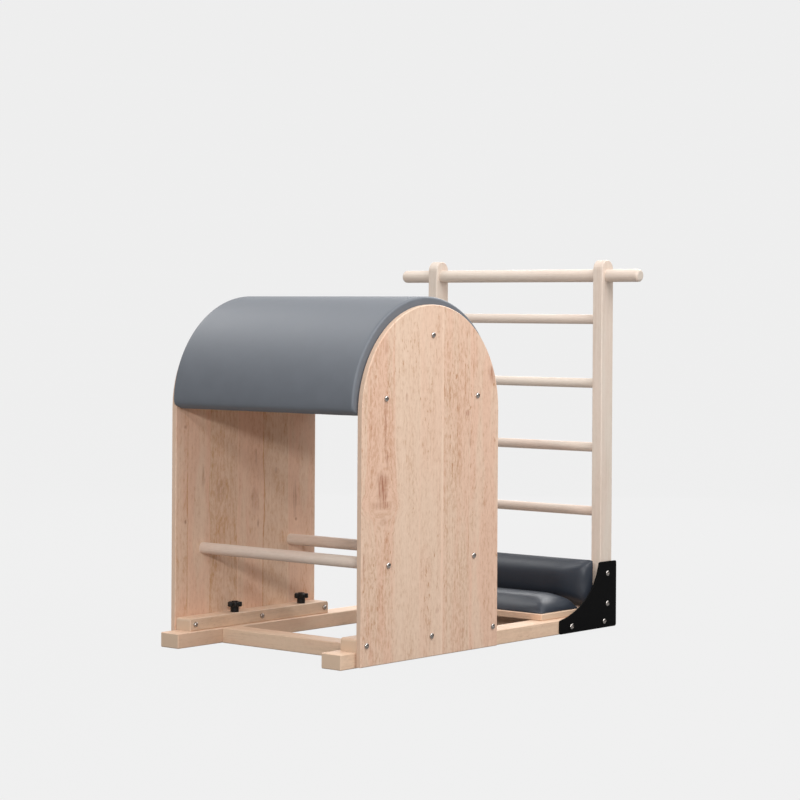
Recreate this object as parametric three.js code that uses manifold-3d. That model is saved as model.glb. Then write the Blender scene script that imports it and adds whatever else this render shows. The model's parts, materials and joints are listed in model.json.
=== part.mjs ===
// Pilates ladder barrel: a padded half barrel between two arched oak panels, which slides on a low
// timber base in front of a maple ladder, with a padded foot seat at the ladder's foot.
//
// Millimetres, +Z up. X runs across, Y from the barrel's end of the base to the ladder's end.
// The origin is on the floor under the middle of the whole object.

import * as THREE from "three";
import { mergeVertices } from "three/addons/utils/BufferGeometryUtils.js";
import Module from "manifold-3d";

// Fits and finishing
const seatGap = 0.3; // between a piece and what it is seated on or let into
const holeClearance = 0.5; // on the diameter of a hole, over its bolt
const overrun = 2; // how far every cutter runs past the face that it leaves
const mergeDistance = 0.0001;
const arris = 2; // broken edges of planed timber

// Base: two rails, tied by two cross members
const baseLength = 1295;
const baseWidth = 700;
const railWidth = 72;
const railHeight = 43;
const memberSetback = 181; // from the ends of the rails
const tenonLength = 16;
const tenonShoulder = 12;

// Barrel: panels, runners, stretchers and battens
const panelSideGap = 2; // from the base's sides to the panels, which reach down past them
const barrelSetback = 60; // panels behind the front ends of the rails
const panelThickness = 18;
const panelDepth = 608;
const panelTop = 1000;
const panelFloorGap = 3;
const runnerWidth = 60;
const runnerHeight = 36.5;
const runnerEndRadius = 8;
const runnerEndSetback = 3; // behind the panel's front and back edges
const runnerBoltInset = 23;
const stretcherDiameter = 34;
const stretcherHeight = 275.5;
const stretcherSpread = 381;
const battenWide = 60;
const battenThin = 40;
const crownBattenRise = 218; // its bolts, above the arch's centre
const sideBattenRise = 42;

// Adjustment: clamp bolts in slots along the rails
const slideForward = 60;
const slideBackward = 90;
const knobFrontSetback = 212; // behind the panels' front edges
const knobRearSetback = 505;
const clampDiameter = 8;
const clampHeadDiameter = 18;
const clampHeadHeight = 4;
const clampGrooveDepth = 10; // under the rail
const knobDiameter = 46;
const knobHeadHeight = 14;
const knobHubDiameter = 25;
const knobHubHeight = 16;
const knobCapDiameter = 20;
const knobCapRise = 2.5;
const knobGripDepth = 7; // of the hollows between its lobes
const knobArris = 2.5;
const knobThreadDepth = 20;
const knobLobes = 5;

// Barrel top: bent shell and its pad
const shellThickness = 12;
const shellSkirt = 3; // below the arch's centre
const padSkirt = 4;
const padSwell = 23; // how far the pad's crown stands over the panels
const padEndGap = 2.5; // to each panel
const padEndRound = 16; // width of the rolled end beside each panel
const padEndDrop = 16; // how far the rolled end falls
const padHemRound = 40;
const padHemShare = 0.72; // of the pad's thickness, left at its front and back hems

// Ladder
const uprightWidth = 36;
const uprightDepth = 60;
const uprightTop = 1144;
const uprightRearSetback = 20; // in front of the rear ends of the rails
const topRailDiameter = 40;
const topRailLength = 948;
const topRailHeight = 1095.5;
const topRailEndRound = 9;
const rungDiameter = 30;
const rungPitch = 200;
const rungCount = 4;
const topRungHeight = 959;
const rungSocket = 18;

// Corner plates
const plateThickness = 4;
const plateArris = 0.5;
const plateHeight = 205;
const plateLength = 297;
const plateNoseHeight = 43;
const plateTopLength = 93;
const plateCornerRadius = 8;
const plateRailBoltHeight = 20;
const plateRailBoltReaches = [237, 66]; // ahead of the plate's rear edge
const plateUprightBoltHeights = [74, 168];

// Foot seat
const seatBoardInset = 31; // of both boards, in from the base's sides
const seatBoardDepth = 263;
const seatBoardThickness = 20;
const backBoardThickness = 18;
const backBoardHeight = 142;
const seatPadRise = 46;
const seatPadInset = 2; // in from its board's edges
const backPadRise = 46;
const backPadSideCover = 21; // past the ends of its board
const backPadTopCover = 8; // over the top of its board
const footPadRim = 18; // height of the cover's upright edge, above its board
const footPadEdge = 30; // width of the rounding that leads from its upright edge to its top
const footPadDrawIn = 2; // sides pulled in between the corners
const footPadGap = 1; // between the two pads

// Bolts
const boltHeadDiameter = 17;
const boltHeadHeight = 6;
const boltDiameter = 8;
const boltSocketWidth = 5;
const boltSocketDepth = 2.5;
const capNutHeight = 8;
const panelBoltDepth = 50; // how far a bolt runs into end grain
const plateBoltDepth = 30;

// Shapes of the soft edges and curves
const swellPower = 0.1; // how soon the pad swells above its hems
const footPadDomeShare = 0.15; // of its rise over the upright edge, lost from front to middle
const knobHollowPower = 4; // how narrow the hollows between the knob's lobes are
const domeRimShare = 0.25; // of a domed head's height
const plateCurveShares = [
  [0.67, 0.28],
  [0.38, 0.54],
]; // handles of the plate's curve, of its length and height
const endRoundShares = [0, 0.35, 0.65, 0.88, 1]; // of the rolled width, where its section has points

// Fineness of the round shapes
const archSteps = 36;
const barSides = 24;
const boltSides = 10;
const domeSteps = 2;
const cornerSteps = 4;
const plateCurveSteps = 16;
const knobSteps = 6; // to each lobe
const hemSteps = 4;
const footPadColumns = 28;
const footPadRows = 10;

// Places worked out from the sizes above
const railFront = -baseLength / 2;
const railRear = baseLength / 2;
const railInnerX = baseWidth / 2 - railWidth;
const railMiddleX = (baseWidth - railWidth) / 2;
const memberReach = (baseLength - railWidth) / 2 - memberSetback; // from the base's middle
const panelInnerX = baseWidth / 2 + panelSideGap;
const panelMiddleX = panelInnerX + panelThickness / 2;
const archRadius = panelDepth / 2;
const archHeight = panelTop - archRadius;
const barrelY = railFront + barrelSetback + archRadius;
const innerWidth = 2 * (panelInnerX - seatGap); // of what fits between the panels
const runnerBottom = railHeight + seatGap;
const runnerTop = runnerBottom + runnerHeight;
const runnerMiddleX = panelInnerX - seatGap - runnerWidth / 2;
const battenOuter = crownBattenRise + battenThin / 2;
const archStep = Math.PI / archSteps;
const shellInner = (battenOuter + seatGap) / Math.cos(archStep / 2);
const shellOuter = shellInner + shellThickness;
const sideBattenReach = Math.sqrt((battenOuter - battenWide / 2) ** 2 - sideBattenRise ** 2);
const uprightFront = railRear - uprightRearSetback - uprightDepth;
const uprightY = uprightFront + uprightDepth / 2;
const uprightInnerX = baseWidth / 2 - uprightWidth;
const uprightMiddleX = (baseWidth - uprightWidth) / 2;
const uprightBottom = railHeight + seatGap;
const plateX = baseWidth / 2 + seatGap + plateThickness / 2;
const boltHole = boltDiameter + holeClearance;
const seatFront = uprightFront - seatGap - seatBoardDepth;
const seatBoardWidth = baseWidth - 2 * seatBoardInset;
const seatBoardBottom = railHeight + seatGap;
const seatBoardTop = seatBoardBottom + seatBoardThickness;
const backBoardBottom = seatBoardTop + seatGap;
const backBoardFront = uprightFront - seatGap - backBoardThickness;
const backPadFront = backBoardFront - seatGap - backPadRise;
const clampHole = clampDiameter + holeClearance;

const oak = new THREE.MeshStandardMaterial({ color: 0xd9b596, roughness: 0.55, metalness: 0 });
const beech = new THREE.MeshStandardMaterial({ color: 0xd0ad88, roughness: 0.6, metalness: 0 });
const maple = new THREE.MeshStandardMaterial({ color: 0xe8dac8, roughness: 0.5, metalness: 0 });
const plywood = new THREE.MeshStandardMaterial({ color: 0xcdb08a, roughness: 0.7, metalness: 0 });
const vinyl = new THREE.MeshStandardMaterial({ color: 0x6e7178, roughness: 0.45, metalness: 0 });
const blackSteel = new THREE.MeshStandardMaterial({ color: 0x16171a, roughness: 0.5, metalness: 0.6 });
const brightSteel = new THREE.MeshStandardMaterial({ color: 0xc4c6c9, roughness: 0.25, metalness: 1 });
const blackPlastic = new THREE.MeshStandardMaterial({ color: 0x141414, roughness: 0.55, metalness: 0 });

const wasm = await Module();
wasm.setup();

function meshFrom(points, faces) {
  const geometry = new THREE.BufferGeometry();
  geometry.setAttribute("position", new THREE.Float32BufferAttribute(points, 3));
  geometry.setIndex(faces);
  return geometry;
}

// A closed geometry as a solid that can be joined and cut.
function solidOf(geometry) {
  const loose = geometry.index ? geometry.toNonIndexed() : geometry;
  const bare = new THREE.BufferGeometry();
  bare.setAttribute("position", loose.getAttribute("position"));
  const merged = mergeVertices(bare, mergeDistance);
  return new wasm.Manifold(
    new wasm.Mesh({
      numProp: 3,
      vertProperties: merged.attributes.position.array,
      triVerts: new Uint32Array(merged.index.array),
    }),
  );
}

// One closed piece from a body, what is joined to it and what is cut out of the whole.
function carved(body, cutters, additions = []) {
  let solid = solidOf(body);
  for (const addition of additions) solid = solid.add(solidOf(addition));
  for (const cutter of cutters) solid = solid.subtract(solidOf(cutter));
  const { vertProperties, triVerts } = solid.getMesh();
  return meshFrom(vertProperties, Array.from(triVerts));
}

// Turns an extrusion of a (Y, Z) outline so that its thickness lies along X.
function thickAlongX(geometry) {
  const turn = new THREE.Matrix4().makeBasis(
    new THREE.Vector3(0, 1, 0),
    new THREE.Vector3(0, 0, 1),
    new THREE.Vector3(1, 0, 0),
  );
  return geometry.applyMatrix4(turn);
}

// Extrudes an outline to a full thickness about its middle, with its two rims broken. Each arc of
// the outline has the given number of steps.
function slab(outline, thickness, chamfer, arcSteps = cornerSteps) {
  const geometry = new THREE.ExtrudeGeometry(outline, {
    depth: thickness - 2 * chamfer,
    bevelEnabled: true,
    bevelThickness: chamfer,
    bevelSize: chamfer,
    bevelOffset: -chamfer,
    bevelSegments: 1,
    curveSegments: arcSteps / 2,
  });
  return geometry.translate(0, 0, chamfer - thickness / 2);
}

// A rectangle about the origin with its corners cut off.
function cutRectangle(width, height, cut) {
  const outline = new THREE.Shape();
  outline.moveTo(cut - width / 2, -height / 2);
  outline.lineTo(width / 2 - cut, -height / 2);
  outline.lineTo(width / 2, cut - height / 2);
  outline.lineTo(width / 2, height / 2 - cut);
  outline.lineTo(width / 2 - cut, height / 2);
  outline.lineTo(cut - width / 2, height / 2);
  outline.lineTo(-width / 2, height / 2 - cut);
  outline.lineTo(-width / 2, cut - height / 2);
  outline.closePath();
  return outline;
}

// A planed bar along X about the origin, with every edge broken.
function barAlongX(length, depth, height) {
  return thickAlongX(slab(cutRectangle(depth, height, arris), length, arris));
}

// A planed bar along Y about the origin, with every edge broken.
function barAlongY(width, length, height) {
  return slab(cutRectangle(width, height, arris), length, arris).rotateX(Math.PI / 2);
}

// A round bar or drill along X, about a point in the (Y, Z) plane.
function rodAlongX(diameter, length, sides, y = 0, z = 0) {
  const rod = new THREE.CylinderGeometry(diameter / 2, diameter / 2, length, sides);
  return rod.rotateZ(Math.PI / 2).translate(0, y, z);
}

// A drill along X that enters the face at faceX, from the side that sign gives, to a depth.
function blindDrill(diameter, faceX, sign, depth, y, z, sides = boltSides) {
  const length = depth + overrun;
  const drill = rodAlongX(diameter, length, sides, y, z);
  return drill.translate(sign * (faceX - depth + length / 2), 0, 0);
}

// A drill along Z, between two heights.
function drillAlongZ(diameter, bottom, top) {
  const drill = new THREE.CylinderGeometry(diameter / 2, diameter / 2, top - bottom, boltSides);
  return drill.rotateX(Math.PI / 2).translate(0, 0, (top + bottom) / 2);
}

// A solid of revolution about Z, from a profile of [radius, height] points given from the bottom up.
function turned(profile, sides) {
  const points = profile.map(([radius, height]) => new THREE.Vector2(radius, height));
  return new THREE.LatheGeometry(points, sides).rotateX(Math.PI / 2);
}

// A cutter for a slot along Y with round ends, between two heights.
function slotCutter(width, travel, bottom, top) {
  const outline = new THREE.Shape();
  outline.absarc(0, travel / 2, width / 2, 0, Math.PI, false);
  outline.absarc(0, -travel / 2, width / 2, Math.PI, 2 * Math.PI, false);
  const geometry = new THREE.ExtrudeGeometry(outline, {
    depth: top - bottom,
    bevelEnabled: false,
    curveSegments: boltSides / 4,
  });
  return geometry.translate(0, 0, bottom);
}

// Points of a domed head over its seat, from its rim up to a given radius.
function domeProfile(diameter, height, innerRadius) {
  const rim = height * domeRimShare;
  const last = Math.acos((2 * innerRadius) / diameter);
  const points = [];
  for (let step = 0; step <= domeSteps; step += 1) {
    const angle = (last * step) / domeSteps;
    points.push([(Math.cos(angle) * diameter) / 2, rim + Math.sin(angle) * (height - rim)]);
  }
  return points;
}

// The foot of a bolt's profile: a plain end, or a domed cap nut.
function boltFoot(shankLength, nutHeight) {
  if (nutHeight === 0) return [[0, -shankLength]];
  const nut = domeProfile(boltHeadDiameter, nutHeight, 0);
  const under = nut.map(([radius, height]) => [radius, -shankLength - height]).reverse();
  under[0][0] = 0;
  return [...under, [boltHeadDiameter / 2, -shankLength]];
}

// A dome-headed bolt along Z, seated at the origin, with its socket up and its shank down.
function domeBolt(shankLength, nutHeight = 0) {
  const dome = domeProfile(boltHeadDiameter, boltHeadHeight, boltSocketWidth / 2);
  const top = dome[dome.length - 1][1];
  const profile = [
    ...boltFoot(shankLength, nutHeight),
    [boltDiameter / 2, -shankLength],
    [boltDiameter / 2, 0],
    [boltHeadDiameter / 2, 0],
    ...dome,
    [boltSocketWidth / 2, top - boltSocketDepth],
    [0, top - boltSocketDepth],
  ];
  return turned(profile, boltSides);
}

// The clamp slots of one rail, each over a groove for its bolt's head, with the rail at X = 0.
function clampSlots() {
  const travel = slideForward + slideBackward;
  const middle = railFront + barrelSetback + (slideBackward - slideForward) / 2;
  const headRoom = clampHeadDiameter + 2 * holeClearance;
  const cutters = [];
  for (const setback of [knobFrontSetback, knobRearSetback]) {
    const groove = slotCutter(headRoom, travel, -overrun, clampGrooveDepth);
    const slot = slotCutter(clampHole, travel, 0, railHeight + overrun);
    cutters.push(groove.translate(0, middle + setback, 0), slot.translate(0, middle + setback, 0));
  }
  return cutters;
}

// A base rail about its own middle line, on the side that sign gives.
function railGeometry(sign) {
  const cutters = clampSlots();
  for (const y of [-memberReach, memberReach]) {
    const mortise = new THREE.BoxGeometry(
      2 * (tenonLength + seatGap),
      railWidth - 2 * tenonShoulder + 2 * seatGap,
      railHeight - 2 * tenonShoulder + 2 * seatGap,
    );
    cutters.push(mortise.translate((-sign * railWidth) / 2, y, railHeight / 2));
  }
  for (const reach of plateRailBoltReaches) {
    const y = railRear - reach;
    const depth = plateBoltDepth + holeClearance;
    cutters.push(blindDrill(boltHole, railWidth / 2, sign, depth, y, plateRailBoltHeight));
  }
  const bar = barAlongY(railWidth, baseLength, railHeight).translate(0, 0, railHeight / 2);
  return carved(bar, cutters);
}

// A cross member between the rails, about its own middle, with a tenon at each end.
function crossMemberGeometry() {
  const tenons = new THREE.BoxGeometry(
    2 * (railInnerX + tenonLength),
    railWidth - 2 * tenonShoulder,
    railHeight - 2 * tenonShoulder,
  );
  return carved(barAlongX(2 * (railInnerX - seatGap), railWidth, railHeight), [], [tenons]);
}

// Bolts through each panel, as a name and a place in the barrel's (Y, Z) plane, by what they hold.
const battenBolts = [
  { name: "crown_batten", y: 0, z: archHeight + crownBattenRise },
  { name: "front_batten", y: -sideBattenReach, z: archHeight + sideBattenRise },
  { name: "rear_batten", y: sideBattenReach, z: archHeight + sideBattenRise },
];
const stretcherBolts = [
  { name: "front_stretcher", y: -stretcherSpread / 2, z: stretcherHeight },
  { name: "rear_stretcher", y: stretcherSpread / 2, z: stretcherHeight },
];
const runnerBolts = [
  { name: "runner_front", y: runnerBoltInset - archRadius, z: runnerBottom + runnerHeight / 2 },
  { name: "runner_middle", y: 0, z: runnerBottom + runnerHeight / 2 },
  { name: "runner_rear", y: archRadius - runnerBoltInset, z: runnerBottom + runnerHeight / 2 },
];

// An arched side panel about the arch's middle line.
function panelGeometry() {
  const outline = new THREE.Shape();
  outline.moveTo(-archRadius, panelFloorGap);
  outline.lineTo(archRadius, panelFloorGap);
  outline.absarc(0, archHeight, archRadius, 0, Math.PI, false);
  outline.closePath();
  const holes = [...battenBolts, ...stretcherBolts, ...runnerBolts].map(({ y, z }) =>
    rodAlongX(boltHole, panelThickness + 2 * overrun, boltSides, y, z),
  );
  return carved(thickAlongX(slab(outline, panelThickness, arris, archSteps)), holes);
}

// The runner bolted inside a panel, which the barrel stands and slides on, on the side that sign
// gives. Its clamp bolts keep to the middle of the rail below.
function runnerGeometry(sign) {
  const half = archRadius - runnerEndSetback;
  const corner = half - runnerEndRadius;
  const outline = new THREE.Shape();
  outline.moveTo(-half, 0);
  outline.lineTo(half, 0);
  outline.absarc(corner, runnerHeight - runnerEndRadius, runnerEndRadius, 0, Math.PI / 2, false);
  outline.absarc(-corner, runnerHeight - runnerEndRadius, runnerEndRadius, Math.PI / 2, Math.PI, false);
  outline.closePath();
  const holes = runnerBolts.map(({ y, z }) =>
    rodAlongX(boltHole, runnerWidth + 2 * overrun, boltSides, y, z - runnerBottom),
  );
  const clampX = sign * (railMiddleX - runnerMiddleX);
  for (const setback of [knobFrontSetback, knobRearSetback]) {
    const hole = drillAlongZ(clampHole, -overrun, runnerHeight + overrun);
    holes.push(hole.translate(clampX, setback - archRadius, 0));
  }
  return carved(thickAlongX(slab(outline, runnerWidth, arris)), holes);
}

// A cross batten under the shell, drawn at the crown about the arch's centre, rounded to the shell.
function battenGeometry(width, height) {
  const halfAngle = Math.asin(width / 2 / battenOuter);
  const inner = battenOuter - height;
  const outline = new THREE.Shape();
  outline.moveTo(-width / 2, inner);
  outline.lineTo(width / 2, inner);
  outline.absarc(0, 0, battenOuter, Math.PI / 2 - halfAngle, Math.PI / 2 + halfAngle, false);
  outline.closePath();
  const z = battenOuter - height / 2;
  const depth = panelBoltDepth + holeClearance;
  const holes = [-1, 1].map((sign) => blindDrill(boltHole, innerWidth / 2, sign, depth, 0, z));
  return carved(thickAlongX(slab(outline, innerWidth, arris)), holes);
}

// A round stretcher between the panels, bored at both ends for its bolts.
function stretcherGeometry() {
  const depth = panelBoltDepth + holeClearance;
  const bores = [-1, 1].map((sign) => blindDrill(boltHole, innerWidth / 2, sign, depth, 0, 0));
  return carved(rodAlongX(stretcherDiameter, innerWidth, barSides), bores);
}

// Steps from 0 to a limit that isn't one of them, closest together at 0.
function openingSteps(limit) {
  const angle = Math.PI / (2 * hemSteps);
  return Array.from({ length: hemSteps }, (_, step) => limit * (1 - Math.cos(step * angle)));
}

// Stations along the barrel's arch, from the front hem over the crown to the rear hem. Each has the
// directions out of the arch, its drop below the arch's centre, and its distance from the nearer hem.
function archStations(skirt) {
  const hemAngle = Math.max(0, padHemRound - padSkirt) / shellOuter;
  const angles = openingSteps(hemAngle);
  for (let step = 0; step < archSteps / 2; step += 1) {
    angles.push(hemAngle + (Math.PI / 2 - hemAngle) * ((2 * step) / archSteps));
  }
  const below = openingSteps(skirt).map((hem) => ({ outY: -1, outZ: 0, drop: skirt - hem, hem }));
  const above = angles.map((angle) => ({
    outY: -Math.cos(angle),
    outZ: Math.sin(angle),
    drop: 0,
    hem: skirt + angle * shellOuter,
  }));
  const front = [...below, ...above];
  const rear = front.map((station) => ({ ...station, outY: -station.outY })).reverse();
  return [...front, { outY: 0, outZ: 1, drop: 0, hem: skirt + (Math.PI / 2) * shellOuter }, ...rear];
}

// The height of a quarter circle over a share of its width, from 0 at its foot to 1
function quarterRound(share) {
  return Math.sqrt(1 - (1 - share) ** 2);
}

// Sweeps a closed section of [X, radius] points along stations of the arch and closes both ends.
function archSweep(stations, sectionAt) {
  const points = [];
  const faces = [];
  const sections = stations.map(sectionAt);
  const count = sections[0].length;
  stations.forEach((station, index) => {
    for (const [x, radius] of sections[index]) {
      points.push(x, radius * station.outY, radius * station.outZ - station.drop);
    }
  });
  for (let row = 0; row + 1 < stations.length; row += 1) {
    for (let column = 0; column < count; column += 1) {
      const next = (column + 1) % count;
      const [a, b] = [row * count + column, row * count + next];
      const [c, d] = [b + count, a + count];
      faces.push(a, c, b, a, d, c);
    }
  }
  const endFaces = (section) =>
    THREE.ShapeUtils.triangulateShape(
      section.map(([x, radius]) => new THREE.Vector2(x, radius)),
      [],
    );
  const last = (stations.length - 1) * count;
  for (const [a, b, c] of endFaces(sections[0])) faces.push(a, b, c);
  for (const [a, b, c] of endFaces(sections[stations.length - 1])) faces.push(last + a, last + c, last + b);
  return meshFrom(points, faces);
}

// The bent plywood shell that carries the pad.
function shellGeometry() {
  const half = innerWidth / 2;
  return archSweep(archStations(shellSkirt), () => [
    [-half, shellInner],
    [half, shellInner],
    [half, shellOuter],
    [-half, shellOuter],
  ]);
}

// The barrel's pad: swollen over the panels, rolled at each end and rounded in at its hems.
function barrelPadGeometry() {
  const half = panelInnerX - padEndGap;
  const inner = shellOuter + seatGap;
  return archSweep(archStations(padSkirt), (station) => {
    const swell = padSwell * Math.max(station.outZ, 0) ** swellPower;
    const full = archRadius + swell - inner;
    const hemShare = quarterRound(Math.min(1, station.hem / padHemRound));
    const thickness = full * (padHemShare + (1 - padHemShare) * hemShare);
    const rolled = endRoundShares.map((share) => [
      half - padEndRound * share,
      inner + thickness - padEndDrop * (1 - quarterRound(share)) * (thickness / full),
    ]);
    const mirrored = rolled.map(([x, radius]) => [-x, radius]).reverse();
    return [[-half, inner], [half, inner], ...rolled, [0, inner + thickness], ...mirrored];
  });
}

// A star knob over its hub, about its axis, with a blind threaded bore from below.
function knobGeometry() {
  const outline = new THREE.Shape();
  const count = knobLobes * knobSteps;
  for (let step = 0; step < count; step += 1) {
    const angle = (2 * Math.PI * step) / count;
    const hollow = Math.cos((knobLobes * angle) / 2) ** knobHollowPower;
    const radius = knobDiameter / 2 - knobGripDepth * hollow;
    if (step === 0) outline.moveTo(radius, 0);
    else outline.lineTo(radius * Math.cos(angle), radius * Math.sin(angle));
  }
  outline.closePath();
  const headBottom = seatGap + knobHubHeight;
  const headTop = headBottom + knobHeadHeight;
  const head = slab(outline, knobHeadHeight, knobArris).translate(0, 0, headBottom + knobHeadHeight / 2);
  const hub = turned(
    [
      [0, seatGap],
      [knobHubDiameter / 2, seatGap],
      [knobHubDiameter / 2, headBottom + knobArris],
      [knobCapDiameter / 2, headTop],
      [knobCapDiameter / 2 - knobCapRise, headTop + knobCapRise],
      [0, headTop + knobCapRise],
    ],
    2 * boltSides,
  );
  const bore = drillAlongZ(clampHole, -overrun, knobThreadDepth);
  return carved(head, [bore], [hub]);
}

// A clamp bolt along Z, with its mushroom head down in the rail's groove.
function clampBoltGeometry() {
  const headTop = clampGrooveDepth - seatGap;
  const tip = runnerTop + knobThreadDepth - holeClearance;
  const head = domeProfile(clampHeadDiameter, clampHeadHeight, 0);
  const under = head.map(([radius, height]) => [radius, headTop - height]).reverse();
  under[0][0] = 0;
  const profile = [
    ...under,
    [clampHeadDiameter / 2, headTop],
    [clampDiameter / 2, headTop],
    [clampDiameter / 2, tip],
    [0, tip],
  ];
  return turned(profile, boltSides);
}

// A ladder upright about its own middle line, round on top, on the side that sign gives.
function uprightGeometry(sign) {
  const outline = new THREE.Shape();
  outline.moveTo(-uprightDepth / 2, uprightBottom);
  outline.lineTo(uprightDepth / 2, uprightBottom);
  outline.absarc(0, uprightTop - uprightDepth / 2, uprightDepth / 2, 0, Math.PI, false);
  outline.closePath();
  const face = uprightWidth / 2;
  const holes = [
    rodAlongX(topRailDiameter + 2 * seatGap, uprightWidth + 2 * overrun, barSides, 0, topRailHeight),
  ];
  for (let rung = 0; rung < rungCount; rung += 1) {
    const z = topRungHeight - rung * rungPitch;
    holes.push(blindDrill(rungDiameter + 2 * seatGap, face, -sign, rungSocket, 0, z, barSides));
  }
  for (const z of plateUprightBoltHeights) {
    holes.push(blindDrill(boltHole, face, sign, plateBoltDepth + holeClearance, 0, z));
  }
  return carved(thickAlongX(slab(outline, uprightWidth, arris, barSides / 2)), holes);
}

// The round top rail, with rolled ends.
function topRailGeometry() {
  const half = topRailLength / 2;
  const radius = topRailDiameter / 2;
  const end = [];
  for (let step = 0; step <= cornerSteps; step += 1) {
    const angle = (Math.PI / 2) * (step / cornerSteps);
    end.push([
      radius - topRailEndRound * (1 - Math.sin(angle)),
      half - topRailEndRound * (1 - Math.cos(angle)),
    ]);
  }
  const upper = end.reverse();
  const lower = end.map(([r, z]) => [r, -z]).reverse();
  return turned([[0, -half], ...lower, ...upper, [0, half]], barSides).rotateY(Math.PI / 2);
}

// A corner plate about its own thickness, in the base's (Y, Z) plane: nose low, back tall, and a
// hollow curve between them.
function plateGeometry() {
  const rear = railRear;
  const nose = railRear - plateLength;
  const shoulder = railRear - plateTopLength;
  const radius = plateCornerRadius;
  const [low, high] = plateCurveShares.map(([reach, rise]) => [
    railRear - reach * plateLength,
    rise * plateHeight,
  ]);
  const outline = new THREE.Shape();
  outline.moveTo(nose + radius, 0);
  outline.lineTo(rear - radius, 0);
  outline.quadraticCurveTo(rear, 0, rear, radius);
  outline.lineTo(rear, plateHeight - radius);
  outline.quadraticCurveTo(rear, plateHeight, rear - radius, plateHeight);
  outline.lineTo(shoulder + radius, plateHeight);
  outline.quadraticCurveTo(shoulder, plateHeight, shoulder, plateHeight - radius);
  outline.bezierCurveTo(...high, ...low, nose + radius, plateNoseHeight);
  outline.quadraticCurveTo(nose, plateNoseHeight, nose, plateNoseHeight - radius);
  outline.lineTo(nose, radius);
  outline.quadraticCurveTo(nose, 0, nose + radius, 0);
  outline.closePath();
  const body = thickAlongX(slab(outline, plateThickness, plateArris, plateCurveSteps));
  const holes = plateBoltPlaces.map(({ y, z }) =>
    rodAlongX(boltHole, plateThickness + 2 * overrun, boltSides, y, z),
  );
  return carved(body, holes);
}

const plateBoltPlaces = [
  ...plateRailBoltReaches.map((reach) => ({ y: railRear - reach, z: plateRailBoltHeight })),
  ...plateUprightBoltHeights.map((z) => ({ y: uprightY, z })),
];

// A soft pad on the (X, Y) plane, swelling up to +Z, rolled over to its rim, pinched at its corners
// and drawn in between them.
function footPadGeometry(width, depth, rise) {
  const spread = (step, steps) => Math.sin((Math.PI / 2) * ((2 * step) / steps - 1));
  const rounded = (inset) => quarterRound(Math.min(1, Math.max(0, inset) / footPadEdge));
  const points = [];
  const faces = [];
  for (let row = 0; row <= footPadRows; row += 1) {
    for (let column = 0; column <= footPadColumns; column += 1) {
      const u = spread(column, footPadColumns);
      const v = spread(row, footPadRows);
      const x = u * (width / 2 - footPadDrawIn * (1 - v * v));
      const y = v * (depth / 2 - footPadDrawIn * (1 - u * u));
      const crown = rounded((width / 2) * (1 - Math.abs(u))) * rounded((depth / 2) * (1 - Math.abs(v)));
      points.push(x, y, footPadRim + (rise - footPadRim) * crown * (1 - footPadDomeShare * v * v));
    }
  }
  const at = (column, row) => row * (footPadColumns + 1) + column;
  for (let row = 0; row < footPadRows; row += 1) {
    for (let column = 0; column < footPadColumns; column += 1) {
      const [a, b] = [at(column, row), at(column + 1, row)];
      const [c, d] = [at(column + 1, row + 1), at(column, row + 1)];
      faces.push(a, b, c, a, c, d);
    }
  }
  closeBelow(points, faces, footPadRimLoop(at));
  return meshFrom(points, faces);
}

// The indices round a foot pad's rim, anticlockwise from above.
function footPadRimLoop(at) {
  const rim = [];
  for (let column = 0; column < footPadColumns; column += 1) rim.push(at(column, 0));
  for (let row = 0; row < footPadRows; row += 1) rim.push(at(footPadColumns, row));
  for (let column = footPadColumns; column > 0; column -= 1) rim.push(at(column, footPadRows));
  for (let row = footPadRows; row > 0; row -= 1) rim.push(at(0, row));
  return rim;
}

// Drops a wall from a rim down to Z = 0 and closes it with a flat bottom.
function closeBelow(points, faces, rim) {
  const first = points.length / 3;
  const outline = rim.map((index) => new THREE.Vector2(points[3 * index], points[3 * index + 1]));
  for (const { x, y } of outline) points.push(x, y, 0);
  rim.forEach((top, index) => {
    const next = (index + 1) % rim.length;
    faces.push(top, first + index, first + next, top, first + next, rim[next]);
  });
  for (const [a, b, c] of THREE.ShapeUtils.triangulateShape(outline, [])) {
    faces.push(first + a, first + c, first + b);
  }
}

const model = new THREE.Group();

function addGroup(y = 0, z = 0) {
  const group = new THREE.Group();
  group.position.set(0, y, z);
  model.add(group);
  return group;
}

function addPiece(parent, name, geometry, material, place = [0, 0, 0], turn = [0, 0, 0]) {
  const piece = new THREE.Mesh(geometry, material);
  piece.name = name;
  piece.position.set(...place);
  piece.rotation.set(...turn);
  parent.add(piece);
}

const handed = [
  ["left", -1],
  ["right", 1],
];
const ends = [
  ["front", knobFrontSetback],
  ["rear", knobRearSetback],
];

// Base frame
const base = addGroup();
for (const [side, sign] of handed) {
  addPiece(base, `base_rail_${side}`, railGeometry(sign), beech, [sign * railMiddleX, 0, 0]);
}
addPiece(base, "front_cross_member", crossMemberGeometry(), beech, [0, -memberReach, railHeight / 2]);
addPiece(base, "rear_cross_member", crossMemberGeometry(), beech, [0, memberReach, railHeight / 2]);

// Ladder
const ladder = addGroup(uprightY);
for (const [side, sign] of handed) {
  addPiece(ladder, `ladder_upright_${side}`, uprightGeometry(sign), maple, [sign * uprightMiddleX, 0, 0]);
}
addPiece(ladder, "top_rail", topRailGeometry(), maple, [0, 0, topRailHeight]);
for (let rung = 0; rung < rungCount; rung += 1) {
  const geometry = rodAlongX(rungDiameter, 2 * (uprightInnerX + rungSocket - seatGap), barSides);
  const place = [0, 0, topRungHeight - rung * rungPitch];
  addPiece(ladder, `ladder_rung_${rung + 1}`, geometry, maple, place);
}

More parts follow.
